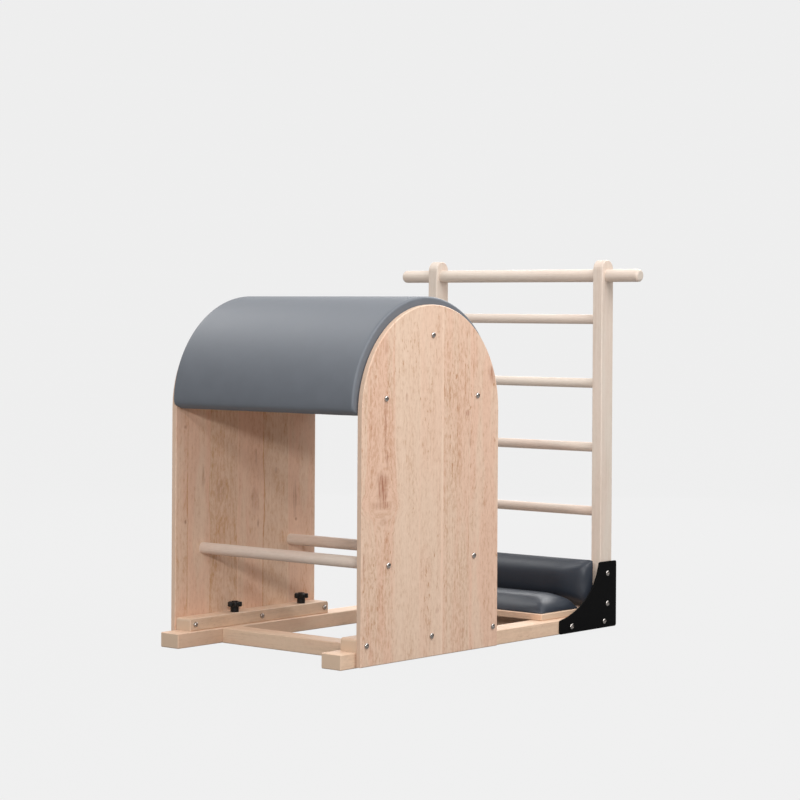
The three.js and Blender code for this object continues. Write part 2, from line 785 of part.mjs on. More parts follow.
// Corner plates and their bolts
for (const [side, sign] of handed) {
  addPiece(base, `corner_plate_${side}`, plateGeometry(), blackSteel, [sign * plateX, 0, 0]);
  plateBoltPlaces.forEach(({ y, z }, index) => {
    const seatX = plateX + plateThickness / 2 + seatGap;
    const bolt = domeBolt(plateThickness + 2 * seatGap + plateBoltDepth);
    const turn = [0, (sign * Math.PI) / 2, 0];
    addPiece(base, `plate_bolt_${index + 1}_${side}`, bolt, brightSteel, [sign * seatX, y, z], turn);
  });
}

// Foot seat
const seatPadDepth = backPadFront - footPadGap - seatFront - seatPadInset;
const seat = addGroup(seatFront, seatBoardBottom);
addPiece(seat, "seat_board", barAlongX(seatBoardWidth, seatBoardDepth, seatBoardThickness), beech, [
  0,
  seatBoardDepth / 2,
  seatBoardThickness / 2,
]);
addPiece(
  seat,
  "seat_pad",
  footPadGeometry(seatBoardWidth - 2 * seatPadInset, seatPadDepth, seatPadRise),
  vinyl,
  [0, seatPadInset + seatPadDepth / 2, seatBoardThickness + seatGap],
);
const backPadHeight = backBoardHeight + backPadTopCover;
const back = addGroup(backBoardFront, backBoardBottom);
addPiece(back, "back_board", barAlongX(seatBoardWidth, backBoardThickness, backBoardHeight), beech, [
  0,
  backBoardThickness / 2,
  backBoardHeight / 2,
]);
addPiece(
  back,
  "back_pad",
  footPadGeometry(seatBoardWidth + 2 * backPadSideCover, backPadHeight, backPadRise),
  vinyl,
  [0, -seatGap, backPadHeight / 2],
  [Math.PI / 2, 0, 0],
);

// Barrel
const barrel = addGroup(barrelY);
for (const [side, sign] of handed) {
  addPiece(barrel, `side_panel_${side}`, panelGeometry(), oak, [sign * panelMiddleX, 0, 0]);
  addPiece(barrel, `slide_runner_${side}`, runnerGeometry(sign), beech, [
    sign * runnerMiddleX,
    0,
    runnerBottom,
  ]);
  for (const [end, setback] of ends) {
    const [x, y] = [sign * railMiddleX, setback - archRadius];
    addPiece(barrel, `clamp_bolt_${end}_${side}`, clampBoltGeometry(), brightSteel, [x, y, 0]);
    addPiece(barrel, `clamp_knob_${end}_${side}`, knobGeometry(), blackPlastic, [x, y, runnerTop]);
  }
}
for (const { name, y, z } of stretcherBolts) {
  addPiece(barrel, name, stretcherGeometry(), maple, [0, y, z]);
}
const archCentre = [0, 0, archHeight];
const lean = Math.PI / 2 - Math.asin(sideBattenRise / (battenOuter - battenWide / 2));
addPiece(barrel, "crown_batten", battenGeometry(battenWide, battenThin), beech, archCentre);
addPiece(barrel, "front_batten", battenGeometry(battenThin, battenWide), beech, archCentre, [lean, 0, 0]);
addPiece(barrel, "rear_batten", battenGeometry(battenThin, battenWide), beech, archCentre, [-lean, 0, 0]);
addPiece(barrel, "barrel_shell", shellGeometry(), plywood, archCentre);
addPiece(barrel, "barrel_pad", barrelPadGeometry(), vinyl, archCentre);

// Bolts through the panels
const panelSeatX = panelInnerX + panelThickness + seatGap;
const endGrainShank = panelThickness + 2 * seatGap + panelBoltDepth;
const runnerShank = panelThickness + runnerWidth + 3 * seatGap;
for (const [side, sign] of handed) {
  const turn = [0, (sign * Math.PI) / 2, 0];
  for (const { name, y, z } of [...battenBolts, ...stretcherBolts]) {
    const place = [sign * panelSeatX, y, z];
    addPiece(barrel, `${name}_bolt_${side}`, domeBolt(endGrainShank), brightSteel, place, turn);
  }
  for (const { name, y, z } of runnerBolts) {
    const place = [sign * panelSeatX, y, z];
    addPiece(barrel, `${name}_bolt_${side}`, domeBolt(runnerShank, capNutHeight), brightSteel, place, turn);
  }
}

export default model;
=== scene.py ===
"""Dresses a packed pilates ladder barrel and sets it in a plain, softly lit studio.

The frame gives every solid piece at its real size, in metres. This script gives each board, plate
and bolt its finish, puts finer pieces in the place of the soft solids and the small hardware, and
adds the camera, the floor and the lights.
"""

from __future__ import annotations

import json
import logging
import math
import random
from dataclasses import dataclass
from enum import Enum
from typing import Callable, Iterable, Sequence, Union

import bmesh
import bpy
from mathutils import Matrix, Vector

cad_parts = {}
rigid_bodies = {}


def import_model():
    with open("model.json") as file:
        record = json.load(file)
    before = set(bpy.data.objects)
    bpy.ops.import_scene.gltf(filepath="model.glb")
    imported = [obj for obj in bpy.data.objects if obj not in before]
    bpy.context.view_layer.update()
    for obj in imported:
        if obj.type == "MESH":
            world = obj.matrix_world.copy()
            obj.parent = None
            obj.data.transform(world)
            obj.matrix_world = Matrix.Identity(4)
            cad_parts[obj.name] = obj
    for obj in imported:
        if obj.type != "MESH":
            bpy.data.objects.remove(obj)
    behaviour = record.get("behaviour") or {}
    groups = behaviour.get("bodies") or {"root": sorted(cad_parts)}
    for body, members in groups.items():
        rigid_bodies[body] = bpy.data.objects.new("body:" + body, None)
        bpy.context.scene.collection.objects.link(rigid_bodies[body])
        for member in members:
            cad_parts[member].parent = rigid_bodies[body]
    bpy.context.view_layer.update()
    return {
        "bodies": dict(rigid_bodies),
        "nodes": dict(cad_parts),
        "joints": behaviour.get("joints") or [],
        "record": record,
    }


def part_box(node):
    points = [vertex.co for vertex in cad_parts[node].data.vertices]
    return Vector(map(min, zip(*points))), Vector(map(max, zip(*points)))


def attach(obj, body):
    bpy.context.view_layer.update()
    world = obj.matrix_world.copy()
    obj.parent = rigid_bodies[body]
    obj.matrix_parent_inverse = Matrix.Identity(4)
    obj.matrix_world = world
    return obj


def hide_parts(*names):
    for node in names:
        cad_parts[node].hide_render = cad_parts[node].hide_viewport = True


log = logging.getLogger("ladder_barrel")

MM = 0.001
NEAR = MM / 100

Range = tuple[float, float]
Point = tuple[float, float]
Triple = tuple[float, float, float]
Feed = Union[float, Sequence[float], bpy.types.NodeSocket]


class Axis(Enum):
    """The direction of a board's grain, with the turn that brings it to the pattern's Z."""

    X = (0.0, -math.pi / 2, 0.0)
    Y = (math.pi / 2, 0.0, 0.0)
    Z = (0.0, 0.0, 0.0)


class Body(Enum):
    """The bodies that the cushions ride on."""

    BASE = "base_frame"
    BARREL = "barrel"


class Slot(Enum):
    """The record's material slots of the new pieces."""

    VINYL = "grey_vinyl"
    BRIGHT_STEEL = "bright_steel"
    BLACK_PLASTIC = "black_plastic"


@dataclass(frozen=True)
class Box:
    """The lowest and highest corners of a node at rest, in metres."""

    low: Vector
    high: Vector

    @classmethod
    def of(cls, node: str) -> Box:
        """Returns the box of a CAD node."""
        low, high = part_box(node)
        return cls(low, high)

    @property
    def centre(self) -> Vector:
        """The middle of the box."""
        return (self.low + self.high) / 2

    @property
    def size(self) -> Vector:
        """The box's extent along each axis."""
        return self.high - self.low


@dataclass(frozen=True)
class Pattern:
    """A noise: its wavelength along each axis in millimetres, its finer octaves, their strength."""

    wavelength: Triple
    detail: float = 2.0
    roughness: float = 0.5


class Graph:
    """The node tree of one material or world, built by calls that return sockets."""

    def __init__(self, owner: Union[bpy.types.Material, bpy.types.World]) -> None:
        """Empties the owner's tree.

        Args:
            owner: the material or the world that is being made.
        """
        owner.use_nodes = True
        self.owner = owner
        self.tree = owner.node_tree
        self.tree.nodes.clear()

    def feed(self, socket: bpy.types.NodeSocket, value: Feed) -> None:
        """Links a socket to another, or sets its value.

        Args:
            socket: the input to feed.
            value: another node's output, or a plain value.
        """
        if isinstance(value, bpy.types.NodeSocket):
            self.tree.links.new(value, socket)
        else:
            socket.default_value = value

    def add(
        self, kind: str, feeds: dict[Union[str, int], Feed], **settings: object
    ) -> bpy.types.Node:
        """Adds a node.

        Args:
            kind: the node's type, without its ShaderNode prefix.
            feeds: what goes into its sockets, by name or number.
            settings: the node's own properties.

        Returns:
            The new node.
        """
        node = self.tree.nodes.new("ShaderNode" + kind)
        for name, value in settings.items():
            setattr(node, name, value)
        for key, value in feeds.items():
            self.feed(node.inputs[key], value)
        return node

    def calc(self, operation: str, *values: Feed, clamp: bool = False) -> bpy.types.NodeSocket:
        """Returns the result of a Math node."""
        feeds = dict(enumerate(values))
        return self.add("Math", feeds, operation=operation, use_clamp=clamp).outputs[0]

    def vector(self, operation: str, *values: Feed) -> bpy.types.NodeSocket:
        """Returns the vector that a Vector Math node gives."""
        node = self.add("VectorMath", dict(enumerate(values)), operation=operation)
        return node.outputs["Vector"]

    def millimetres(self) -> bpy.types.NodeSocket:
        """Returns the object's own coordinates in millimetres."""
        place = self.add("TexCoord", {}).outputs["Object"]
        return self.vector("MULTIPLY", place, (1 / MM,) * 3)

    def noise(self, place: Feed, pattern: Pattern, output: str = "Fac") -> bpy.types.NodeSocket:
        """Adds a noise texture.

        Args:
            place: coordinates in millimetres.
            pattern: the noise's size and roughness.
            output: Fac for one value about a half, or Color for three.

        Returns:
            The noise's output.
        """
        scaled = self.vector("DIVIDE", place, pattern.wavelength)
        feeds = {"Vector": scaled, "Scale": 1.0}
        feeds |= {"Detail": pattern.detail, "Roughness": pattern.roughness}
        return self.add("TexNoise", feeds).outputs[output]

    def span(self, value: Feed, source: Range, target: Range = (0.0, 1.0)) -> bpy.types.NodeSocket:
        """Takes a value smoothly from one range to another, and holds it at the ends.

        Args:
            value: the value to take.
            source: the two ends of the range that it is in.
            target: what they become.

        Returns:
            The value in the target range.
        """
        feeds = {"Value": value, "From Min": source[0], "From Max": source[1]}
        feeds |= {"To Min": target[0], "To Max": target[1]}
        return self.add("MapRange", feeds, interpolation_type="SMOOTHSTEP").outputs["Result"]

    def varied(self, value: Feed, middle: float, spread: float) -> bpy.types.NodeSocket:
        """Returns a middle value that varies over a spread, as a value goes from 0 to 1."""
        return self.calc("MULTIPLY_ADD", value, spread, middle - spread / 2)

    def ramp(
        self, value: Feed, stops: Iterable[tuple[float, Triple]], interpolation: str = "LINEAR"
    ) -> bpy.types.NodeSocket:
        """Adds a colour ramp.

        Args:
            value: where to read it.
            stops: its positions and their colours.
            interpolation: how it goes from stop to stop.

        Returns:
            The ramp's colour.
        """
        node = self.add("ValToRGB", {"Fac": value})
        node.color_ramp.interpolation = interpolation
        elements = node.color_ramp.elements
        for index, (position, colour) in enumerate(stops):
            element = elements[index] if index < 2 else elements.new(position)
            element.position = position
            element.color = (*colour, 1.0)
        return node.outputs["Color"]

    def mix(
        self, share: Feed, first: Feed, second: Feed, blend: str = "MIX"
    ) -> bpy.types.NodeSocket:
        """Mixes two colours.

        Args:
            share: how much of the second there is.
            first: the colour below.
            second: the colour above.
            blend: the way they mix.

        Returns:
            The mixed colour.
        """
        node = self.add("Mix", {}, data_type="RGBA", blend_type=blend)
        self.feed(node.inputs["Factor"], share)
        for key, value in (("A", first), ("B", second)):
            socket = next(s for s in node.inputs if s.name == key and s.type == "RGBA")
            self.feed(socket, (*value, 1.0) if isinstance(value, tuple) else value)
        return next(s for s in node.outputs if s.type == "RGBA")

    def bump(self, height: Feed, depth: float) -> bpy.types.NodeSocket:
        """Returns a normal raised by a height, whose 1 stands a depth in metres over its 0."""
        feeds = {"Strength": 1.0, "Distance": depth, "Height": height}
        return self.add("Bump", feeds).outputs["Normal"]

    def surface(self, **feeds: Feed) -> bpy.types.Material:
        """Ends the tree in a Principled shader.

        Args:
            feeds: its sockets, by their names with underscores for spaces.

        Returns:
            The finished material.
        """
        named = {name.replace("_", " "): value for name, value in feeds.items()}
        for name, value in named.items():
            if isinstance(value, tuple) and len(value) == 3:
                named[name] = (*value, 1.0)
        shader = self.add("BsdfPrincipled", named)
        self.add("OutputMaterial", {"Surface": shader.outputs["BSDF"]})
        return self.owner


def new_graph(name: str) -> Graph:
    """Returns the empty tree of a new material."""
    return Graph(bpy.data.materials.new(name))


@dataclass(frozen=True)
class Timber:
    """A species of timber: its colours, and how strongly each part of its figure shows.

    Lengths are in millimetres, but the relief is in metres. A pattern's last wavelength lies along
    the grain. A board's tone goes from dark at 0 through middle at a half to light at 1.
    """

    name: str
    light: Triple
    middle: Triple
    dark: Triple
    blush: Triple = (1.0, 0.905, 0.885)
    blush_range: Range = (0.3, 1.6)
    most_blush: float = 0.6
    knot: Triple = (0.34, 0.135, 0.075)
    mottle: float = 0.14
    clouds: Pattern = Pattern((48, 48, 300))
    figured: Range = (0.45, 0.62)
    pinker: Range = (0.35, 0.62)
    streak: float = 0.23
    streaks: Pattern = Pattern((9, 9, 300), 3.0, 0.62)
    fibre: float = 0.62
    fibres: Pattern = Pattern((7, 7, 20), 3.0, 0.7)
    ring: float = 0.1
    ring_pitch: float = 5.5
    ring_rise: Range = (0.2, 0.85)
    ring_fall: Range = (0.9, 1.0)
    heart_distance: float = 70.0
    heart_lean: float = 0.035
    pore: float = 0.14
    pores: Pattern = Pattern((1.3, 1.3, 13), 1.0)
    pore_range: Range = (0.6, 0.72)
    late_loss: float = 0.6
    fleck: float = 0.5
    flecks: Pattern = Pattern((5, 5, 20), 2.0, 0.6)
    fleck_range: Range = (0.6, 0.7)
    wander: float = 8.0
    drift: Pattern = Pattern((90, 90, 520))
    trunk: float = 4000.0
    tone_spread: float = 0.05
    end_shade: float = 0.86
    end_range: Range = (0.75, 0.95)
    roughness: float = 0.5
    gloss_spread: float = 0.16
    shine: float = 0.35
    fibre_relief: float = 0.4
    relief: float = 0.06 * MM

    def board(self, node: str, grain: Axis) -> bpy.types.Material:
        """Cuts one board out of the timber.

        Args:
            node: the CAD node that the board is, which also settles its place in the tree.
            grain: the axis that its fibres follow.

        Returns:
            The board's own material.
        """
        graph = new_graph(f"{self.name}_{node}")
        draw = random.Random(node)
        centre = Box.of(node).centre / MM
        about = graph.vector("SUBTRACT", graph.millimetres(), tuple(centre))
        shift = (0.0, 0.0, draw.uniform(-self.trunk, self.trunk))
        feeds = {"Vector": about, "Location": shift, "Rotation": grain.value}
        place = graph.add("Mapping", feeds, vector_type="POINT").outputs["Vector"]
        tone = 0.5 + draw.uniform(-self.tone_spread, self.tone_spread)
        blush = draw.uniform(0.0, self.most_blush)
        return self.dress(graph, place, tone, blush, 0.0, self.end_grain(graph, grain))

    def dress(
        self, graph: Graph, place: Feed, tone: Feed, blush: Feed, knots: Feed, end: Feed
    ) -> bpy.types.Material:
        """Builds the timber's colour, gloss and relief.

        Args:
            graph: the material's tree.
            place: coordinates about the board's middle in millimetres, with Z along the grain.
            tone: how light the board is, about a half.
            blush: how pink it is, from 0 to 1.
            knots: 1 in its knots and cracks and 0 elsewhere.
            end: 1 on faces cut across the grain and 0 on the others.

        Returns:
            The finished material.
        """
        bent = self.bent(graph, place)
        streaks = graph.noise(bent, self.streaks)
        fibres = graph.noise(bent, self.fibres)
        clouds = graph.noise(bent, self.clouds, "Color")
        mottle, patches, shades = graph.add("SeparateColor", {0: clouds}).outputs
        shows = graph.span(patches, self.figured)
        for value, share in ((mottle, self.mottle), (streaks, self.streak), (fibres, self.fibre)):
            change = graph.calc("SUBTRACT", value, 0.5)
            tone = graph.calc("MULTIPLY_ADD", change, 2 * share, tone)
        rings = graph.calc("MULTIPLY", self.growth_rings(graph, bent), shows)
        tone = graph.calc("MULTIPLY_ADD", rings, -self.ring, tone)
        flecks = graph.span(graph.noise(bent, self.flecks), self.fleck_range)
        tone = graph.calc("MULTIPLY_ADD", graph.calc("MULTIPLY", flecks, shows), -self.fleck, tone)
        colour = graph.ramp(tone, [(0.0, self.dark), (0.5, self.middle), (1.0, self.light)])
        pinker = graph.calc("MULTIPLY", graph.span(shades, self.pinker, self.blush_range), blush)
        colour = graph.mix(pinker, colour, self.blush, "MULTIPLY")
        colour = graph.mix(knots, colour, self.knot)
        pores = self.open_pores(graph, place, rings)
        colour = graph.mix(graph.calc("MULTIPLY", pores, self.pore), colour, self.dark)
        colour = graph.mix(end, colour, tuple(c * self.end_shade for c in self.middle))
        gloss = graph.varied(streaks, self.roughness, self.gloss_spread)
        relief = graph.calc("SUBTRACT", graph.calc("MULTIPLY", fibres, self.fibre_relief), pores)
        feeds = {"Roughness": gloss, "Normal": graph.bump(relief, self.relief)}
        return graph.surface(Base_Color=colour, **feeds, Specular_IOR_Level=self.shine)

    def bent(self, graph: Graph, place: Feed) -> bpy.types.NodeSocket:
        """Lets the grain wander slowly.

        Args:
            graph: the material's tree.
            place: straight coordinates in millimetres.

        Returns:
            Coordinates that follow the grain.
        """
        offset = graph.vector("SUBTRACT", graph.noise(place, self.drift, "Color"), (0.5, 0.5, 0.5))
        reach = (2 * self.wander, 2 * self.wander, 0.0)
        return graph.vector("ADD", place, graph.vector("MULTIPLY", offset, reach))

    def growth_rings(self, graph: Graph, bent: Feed) -> bpy.types.NodeSocket:
        """Lays growth rings about a heart that leans away from the board.

        Args:
            graph: the material's tree.
            bent: coordinates that follow the grain.

        Returns:
            0 in early wood, rising to 1 in late wood.
        """
        across, beside, along = graph.add("SeparateXYZ", {0: bent}).outputs
        depth = graph.calc("MULTIPLY_ADD", along, self.heart_lean, self.heart_distance)
        depth = graph.calc("ADD", graph.calc("PINGPONG", depth, 4 * self.heart_distance), across)
        square = graph.calc("MULTIPLY", beside, beside)
        reach = graph.calc("SQRT", graph.calc("MULTIPLY_ADD", depth, depth, square))
        phase = graph.calc("FRACT", graph.calc("DIVIDE", reach, self.ring_pitch))
        rise = graph.span(phase, self.ring_rise)
        return graph.calc("SUBTRACT", rise, graph.span(phase, self.ring_fall))

    def open_pores(self, graph: Graph, place: Feed, rings: Feed) -> bpy.types.NodeSocket:
        """Opens fine dark pores, most of them in the early wood.

        Args:
            graph: the material's tree.
            place: straight coordinates in millimetres.
            rings: 0 in early wood and 1 in late wood.

        Returns:
            1 in the pores and 0 elsewhere.
        """
        pores = graph.span(graph.noise(place, self.pores), self.pore_range)
        share = graph.calc("MULTIPLY_ADD", rings, -self.late_loss, 1.0)
        return graph.calc("MULTIPLY", pores, share)

    def end_grain(self, graph: Graph, grain: Axis) -> bpy.types.NodeSocket:
        """Finds the faces that are cut across the grain.

        Args:
            graph: the material's tree.
            grain: the axis that the board's fibres follow.

        Returns:
            1 on those faces and 0 on the others.
        """
        normal = graph.add("TexCoord", {}).outputs["Normal"]
        facing = graph.add("SeparateXYZ", {0: normal}).outputs[grain.name]
        return graph.span(graph.calc("ABSOLUTE", facing), self.end_range)


@dataclass(frozen=True)
class Stave:
    """One stave of a glued panel: its width in millimetres, its tone, and how pink it is."""

    width: float
    tone: float = 0.5
    blush: float = 0.5


@dataclass(frozen=True)
class Knot:
    """A knot or a crack: its place, width and height in millimetres, and how dark it is."""

    y: float
    z: float
    width: float
    height: float
    share: float = 1.0


@dataclass(frozen=True)
class GluedPanel:
    """A panel glued up from upright staves, with its knots. Lengths are in millimetres."""

    node: str
    timber: Timber
    staves: tuple[Stave, ...]
    knots: tuple[Knot, ...]
    stave_shift: float = 9000.0
    rim_range: Range = (0.3, 0.9)
    rim_shade: float = 0.75
    cracks: Pattern = Pattern((4.5, 4.5, 60), 2.0, 0.6)
    crack_range: Range = (0.5, 0.6)
    crack_depth: Range = (0.4, 1.0)
    outline: Pattern = Pattern((14, 14, 40), 3.0, 0.6)
    raggedness: float = 1.2
    core_range: Range = (0.3, 1.1)
    pull_range: Range = (0.6, 3.0)
    pull: float = 0.7
    through: float = 1e6

    def material(self) -> bpy.types.Material:
        """Glues up the panel's staves.

        Returns:
            The panel's own material.
        """
        graph = new_graph(f"{self.timber.name}_{self.node}")
        box = Box.of(self.node)
        low, width = box.low.y / MM, box.size.y / MM
        place, knots = self.with_knots(graph, graph.millimetres())
        tone, blush, middle = self.staved(graph, place, low, width)
        centre = graph.calc("MULTIPLY_ADD", middle, width, low)
        shift = graph.calc("MULTIPLY", middle, self.stave_shift)
        offset = graph.add("CombineXYZ", {0: 0.0, 1: centre, 2: shift})
        about = graph.vector("SUBTRACT", place, offset.outputs["Vector"])
        normal = graph.add("TexCoord", {}).outputs["Normal"]
        facing = graph.calc("ABSOLUTE", graph.add("SeparateXYZ", {0: normal}).outputs["X"])
        rim = graph.span(facing, self.rim_range, (self.rim_shade, 0.0))
        return self.timber.dress(graph, about, tone, blush, knots, rim)

    def staved(
        self, graph: Graph, place: Feed, low: float, width: float
    ) -> Sequence[bpy.types.NodeSocket]:
        """Divides the panel into its staves.

        Args:
            graph: the material's tree.
            place: coordinates that flow round the knots.
            low: where the panel begins along Y.
            width: how far it goes along Y.

        Returns:
            The tone and the blush of the stave at each place, and its middle as a share.
        """
        along = graph.add("SeparateXYZ", {0: place}).outputs["Y"]
        share = graph.calc("DIVIDE", graph.calc("SUBTRACT", along, low), width)
        total = sum(stave.width for stave in self.staves)
        stops = []
        start = 0.0
        for stave in self.staves:
            middle = (start + stave.width / 2) / total
            stops.append((start / total, (stave.tone, stave.blush, middle)))
            start += stave.width
        return graph.add("SeparateColor", {0: graph.ramp(share, stops, "CONSTANT")}).outputs

    def with_knots(self, graph: Graph, place: Feed) -> tuple[Feed, Feed]:
        """Puts in the knots, with the grain drawn round them.

        Args:
            graph: the material's tree.
            place: coordinates in millimetres.

        Returns:
            Coordinates that flow round the knots, and 1 in the knots' dark cracks.
        """
        cracks = graph.span(graph.noise(place, self.cracks), self.crack_range, self.crack_depth)
        ragged = graph.noise(place, self.outline)
        flowing, dark = place, 0.0
        for knot in self.knots:
            size = (self.through, knot.width / 2, knot.height / 2)
            offset = graph.vector("SUBTRACT", place, (0.0, knot.y, knot.z))
            scaled = graph.vector("DIVIDE", offset, size)
            reach = graph.add("VectorMath", {0: scaled}, operation="LENGTH").outputs["Value"]
            rough = graph.calc("SUBTRACT", ragged, 0.5)
            reach = graph.calc("MULTIPLY_ADD", rough, self.raggedness, reach)
            core = graph.span(reach, self.core_range, (knot.share, 0.0))
            dark = graph.calc("MAXIMUM", dark, graph.calc("MULTIPLY", core, cracks))
            pull = graph.span(reach, self.pull_range, (self.pull * knot.share, 0.0))
            aside = graph.vector("MULTIPLY", offset, (0.0, 1.0, 0.0))
            moved = graph.add("VectorMath", {0: aside, 3: pull}, operation="SCALE")
            flowing = graph.vector("SUBTRACT", flowing, moved.outputs["Vector"])
        return flowing, dark


@dataclass(frozen=True)
class Vinyl:
    """Soft upholstery vinyl, with its leather grain in millimetres and its relief in metres."""

    colour: Triple = (0.128, 0.14, 0.16)
    roughness: float = 0.52
    gloss_spread: float = 0.12
    shine: float = 0.5
    clouds: Pattern = Pattern((60, 60, 60), 3.0)
    cloud_range: Range = (0.3, 0.7)
    lighter: float = 1.06
    grain: float = 1.5
    relief: float = 0.05 * MM

    def material(self, name: str) -> bpy.types.Material:
        """Mixes the vinyl.

        Args:
            name: the material's name.

        Returns:
            The finished material.
        """
        graph = new_graph(name)
        place = graph.millimetres()
        scaled = graph.vector("DIVIDE", place, (self.grain,) * 3)
        cells = graph.add("TexVoronoi", {"Vector": scaled, "Scale": 1.0})
        pebble = graph.calc("SUBTRACT", 1.0, cells.outputs["Distance"], clamp=True)
        clouds = graph.noise(place, self.clouds)
        share = graph.span(clouds, self.cloud_range)
        colour = graph.mix(share, self.colour, tuple(c * self.lighter for c in self.colour))
        gloss = graph.varied(clouds, self.roughness, self.gloss_spread)
        feeds = {"Roughness": gloss, "Normal": graph.bump(pebble, self.relief)}
        return graph.surface(Base_Color=colour, **feeds, Specular_IOR_Level=self.shine)


@dataclass(frozen=True)
class PowderCoat:
    """Black powder coat with a slight orange peel, whose relief is in metres."""

    colour: Triple = (0.003, 0.003, 0.0032)
    roughness: float = 0.62
    shine: float = 0.08
    gloss_spread: float = 0.1
    peel: Pattern = Pattern((1.1, 1.1, 1.1))
    relief: float = 0.05 * MM

    def material(self, name: str) -> bpy.types.Material:
        """Mixes the coat.

        Args:
            name: the material's name.

        Returns:
            The finished material.
        """
        graph = new_graph(name)
        peel = graph.noise(graph.millimetres(), self.peel)
        gloss = graph.varied(peel, self.roughness, self.gloss_spread)
        feeds = {"Roughness": gloss, "Normal": graph.bump(peel, self.relief)}
        return graph.surface(Base_Color=self.colour, **feeds, Specular_IOR_Level=self.shine)


@dataclass(frozen=True)
class BrightSteel:
    """Polished steel of bolts and nuts, with fine marks whose relief is in metres."""

    colour: Triple = (0.52, 0.48, 0.45)
    roughness: float = 0.22
    gloss_spread: float = 0.14
    marks: Pattern = Pattern((0.6, 0.6, 0.6), 3.0)
    relief: float = 0.004 * MM

    def material(self, name: str) -> bpy.types.Material:
        """Mixes the steel.

        Args:
            name: the material's name.

        Returns:
            The finished material.
        """
        graph = new_graph(name)
        marks = graph.noise(graph.millimetres(), self.marks)
        gloss = graph.varied(marks, self.roughness, self.gloss_spread)
        feeds = {"Roughness": gloss, "Normal": graph.bump(marks, self.relief)}
        return graph.surface(Base_Color=self.colour, Metallic=1.0, **feeds)


@dataclass(frozen=True)
class Viewpoint:
    """The photograph's camera: place in metres, angles in degrees, picture in its own pixels."""

    place: Triple = (4.67557, -5.53325, 0.97835)
    yaw: float = 40.153
    pitch: float = 0.127
    roll: float = 0.343
    focal_length: float = 2397.62
    optical_row: float = 317.26
    picture: float = 800.0
    sensor: float = 36.0
    clip_end: float = 100.0

    def build(self) -> None:
        """Adds the camera at the photograph's place."""
        yaw, pitch, roll = (math.radians(angle) for angle in (self.yaw, self.pitch, self.roll))
        ahead = math.cos(pitch)
        forward = Vector((-math.sin(yaw) * ahead, math.cos(yaw) * ahead, -math.sin(pitch)))
        level = forward.cross(Vector((0, 0, 1))).normalized()
        right = Matrix.Rotation(-roll, 3, forward) @ level
        up = right.cross(forward)
        data = bpy.data.cameras.new("camera")
        data.sensor_width = self.sensor
        data.lens = self.sensor * self.focal_length / self.picture
        data.shift_y = (self.optical_row - self.picture / 2) / self.picture
        data.clip_end = self.clip_end
        camera = bpy.data.objects.new("camera", data)
        camera.matrix_world = Matrix((right, up, -forward)).transposed().to_4x4()
        camera.matrix_world.translation = Vector(self.place)
        bpy.context.scene.collection.objects.link(camera)
        bpy.context.scene.camera = camera


@dataclass(frozen=True)
class Softbox:
    """A square softbox: its place and side in metres, its power in watts, and its shadows."""

    name: str
    place: Triple
    size: float
    power: float
    shadow: bool = True

    def build(self, target: Triple) -> None:
        """Adds the softbox.

        Args:
            target: the place that it points at.
        """
        data = bpy.data.lights.new(self.name, "AREA")
        data.shape = "SQUARE"
        data.size = self.size
        data.energy = self.power
        data.use_shadow = self.shadow
        light = bpy.data.objects.new(self.name, data)
        light.location = self.place
        aim = Vector(target) - Vector(self.place)
        light.rotation_euler = aim.to_track_quat("-Z", "Y").to_euler()
        light.visible_camera = False
        bpy.context.scene.collection.objects.link(light)


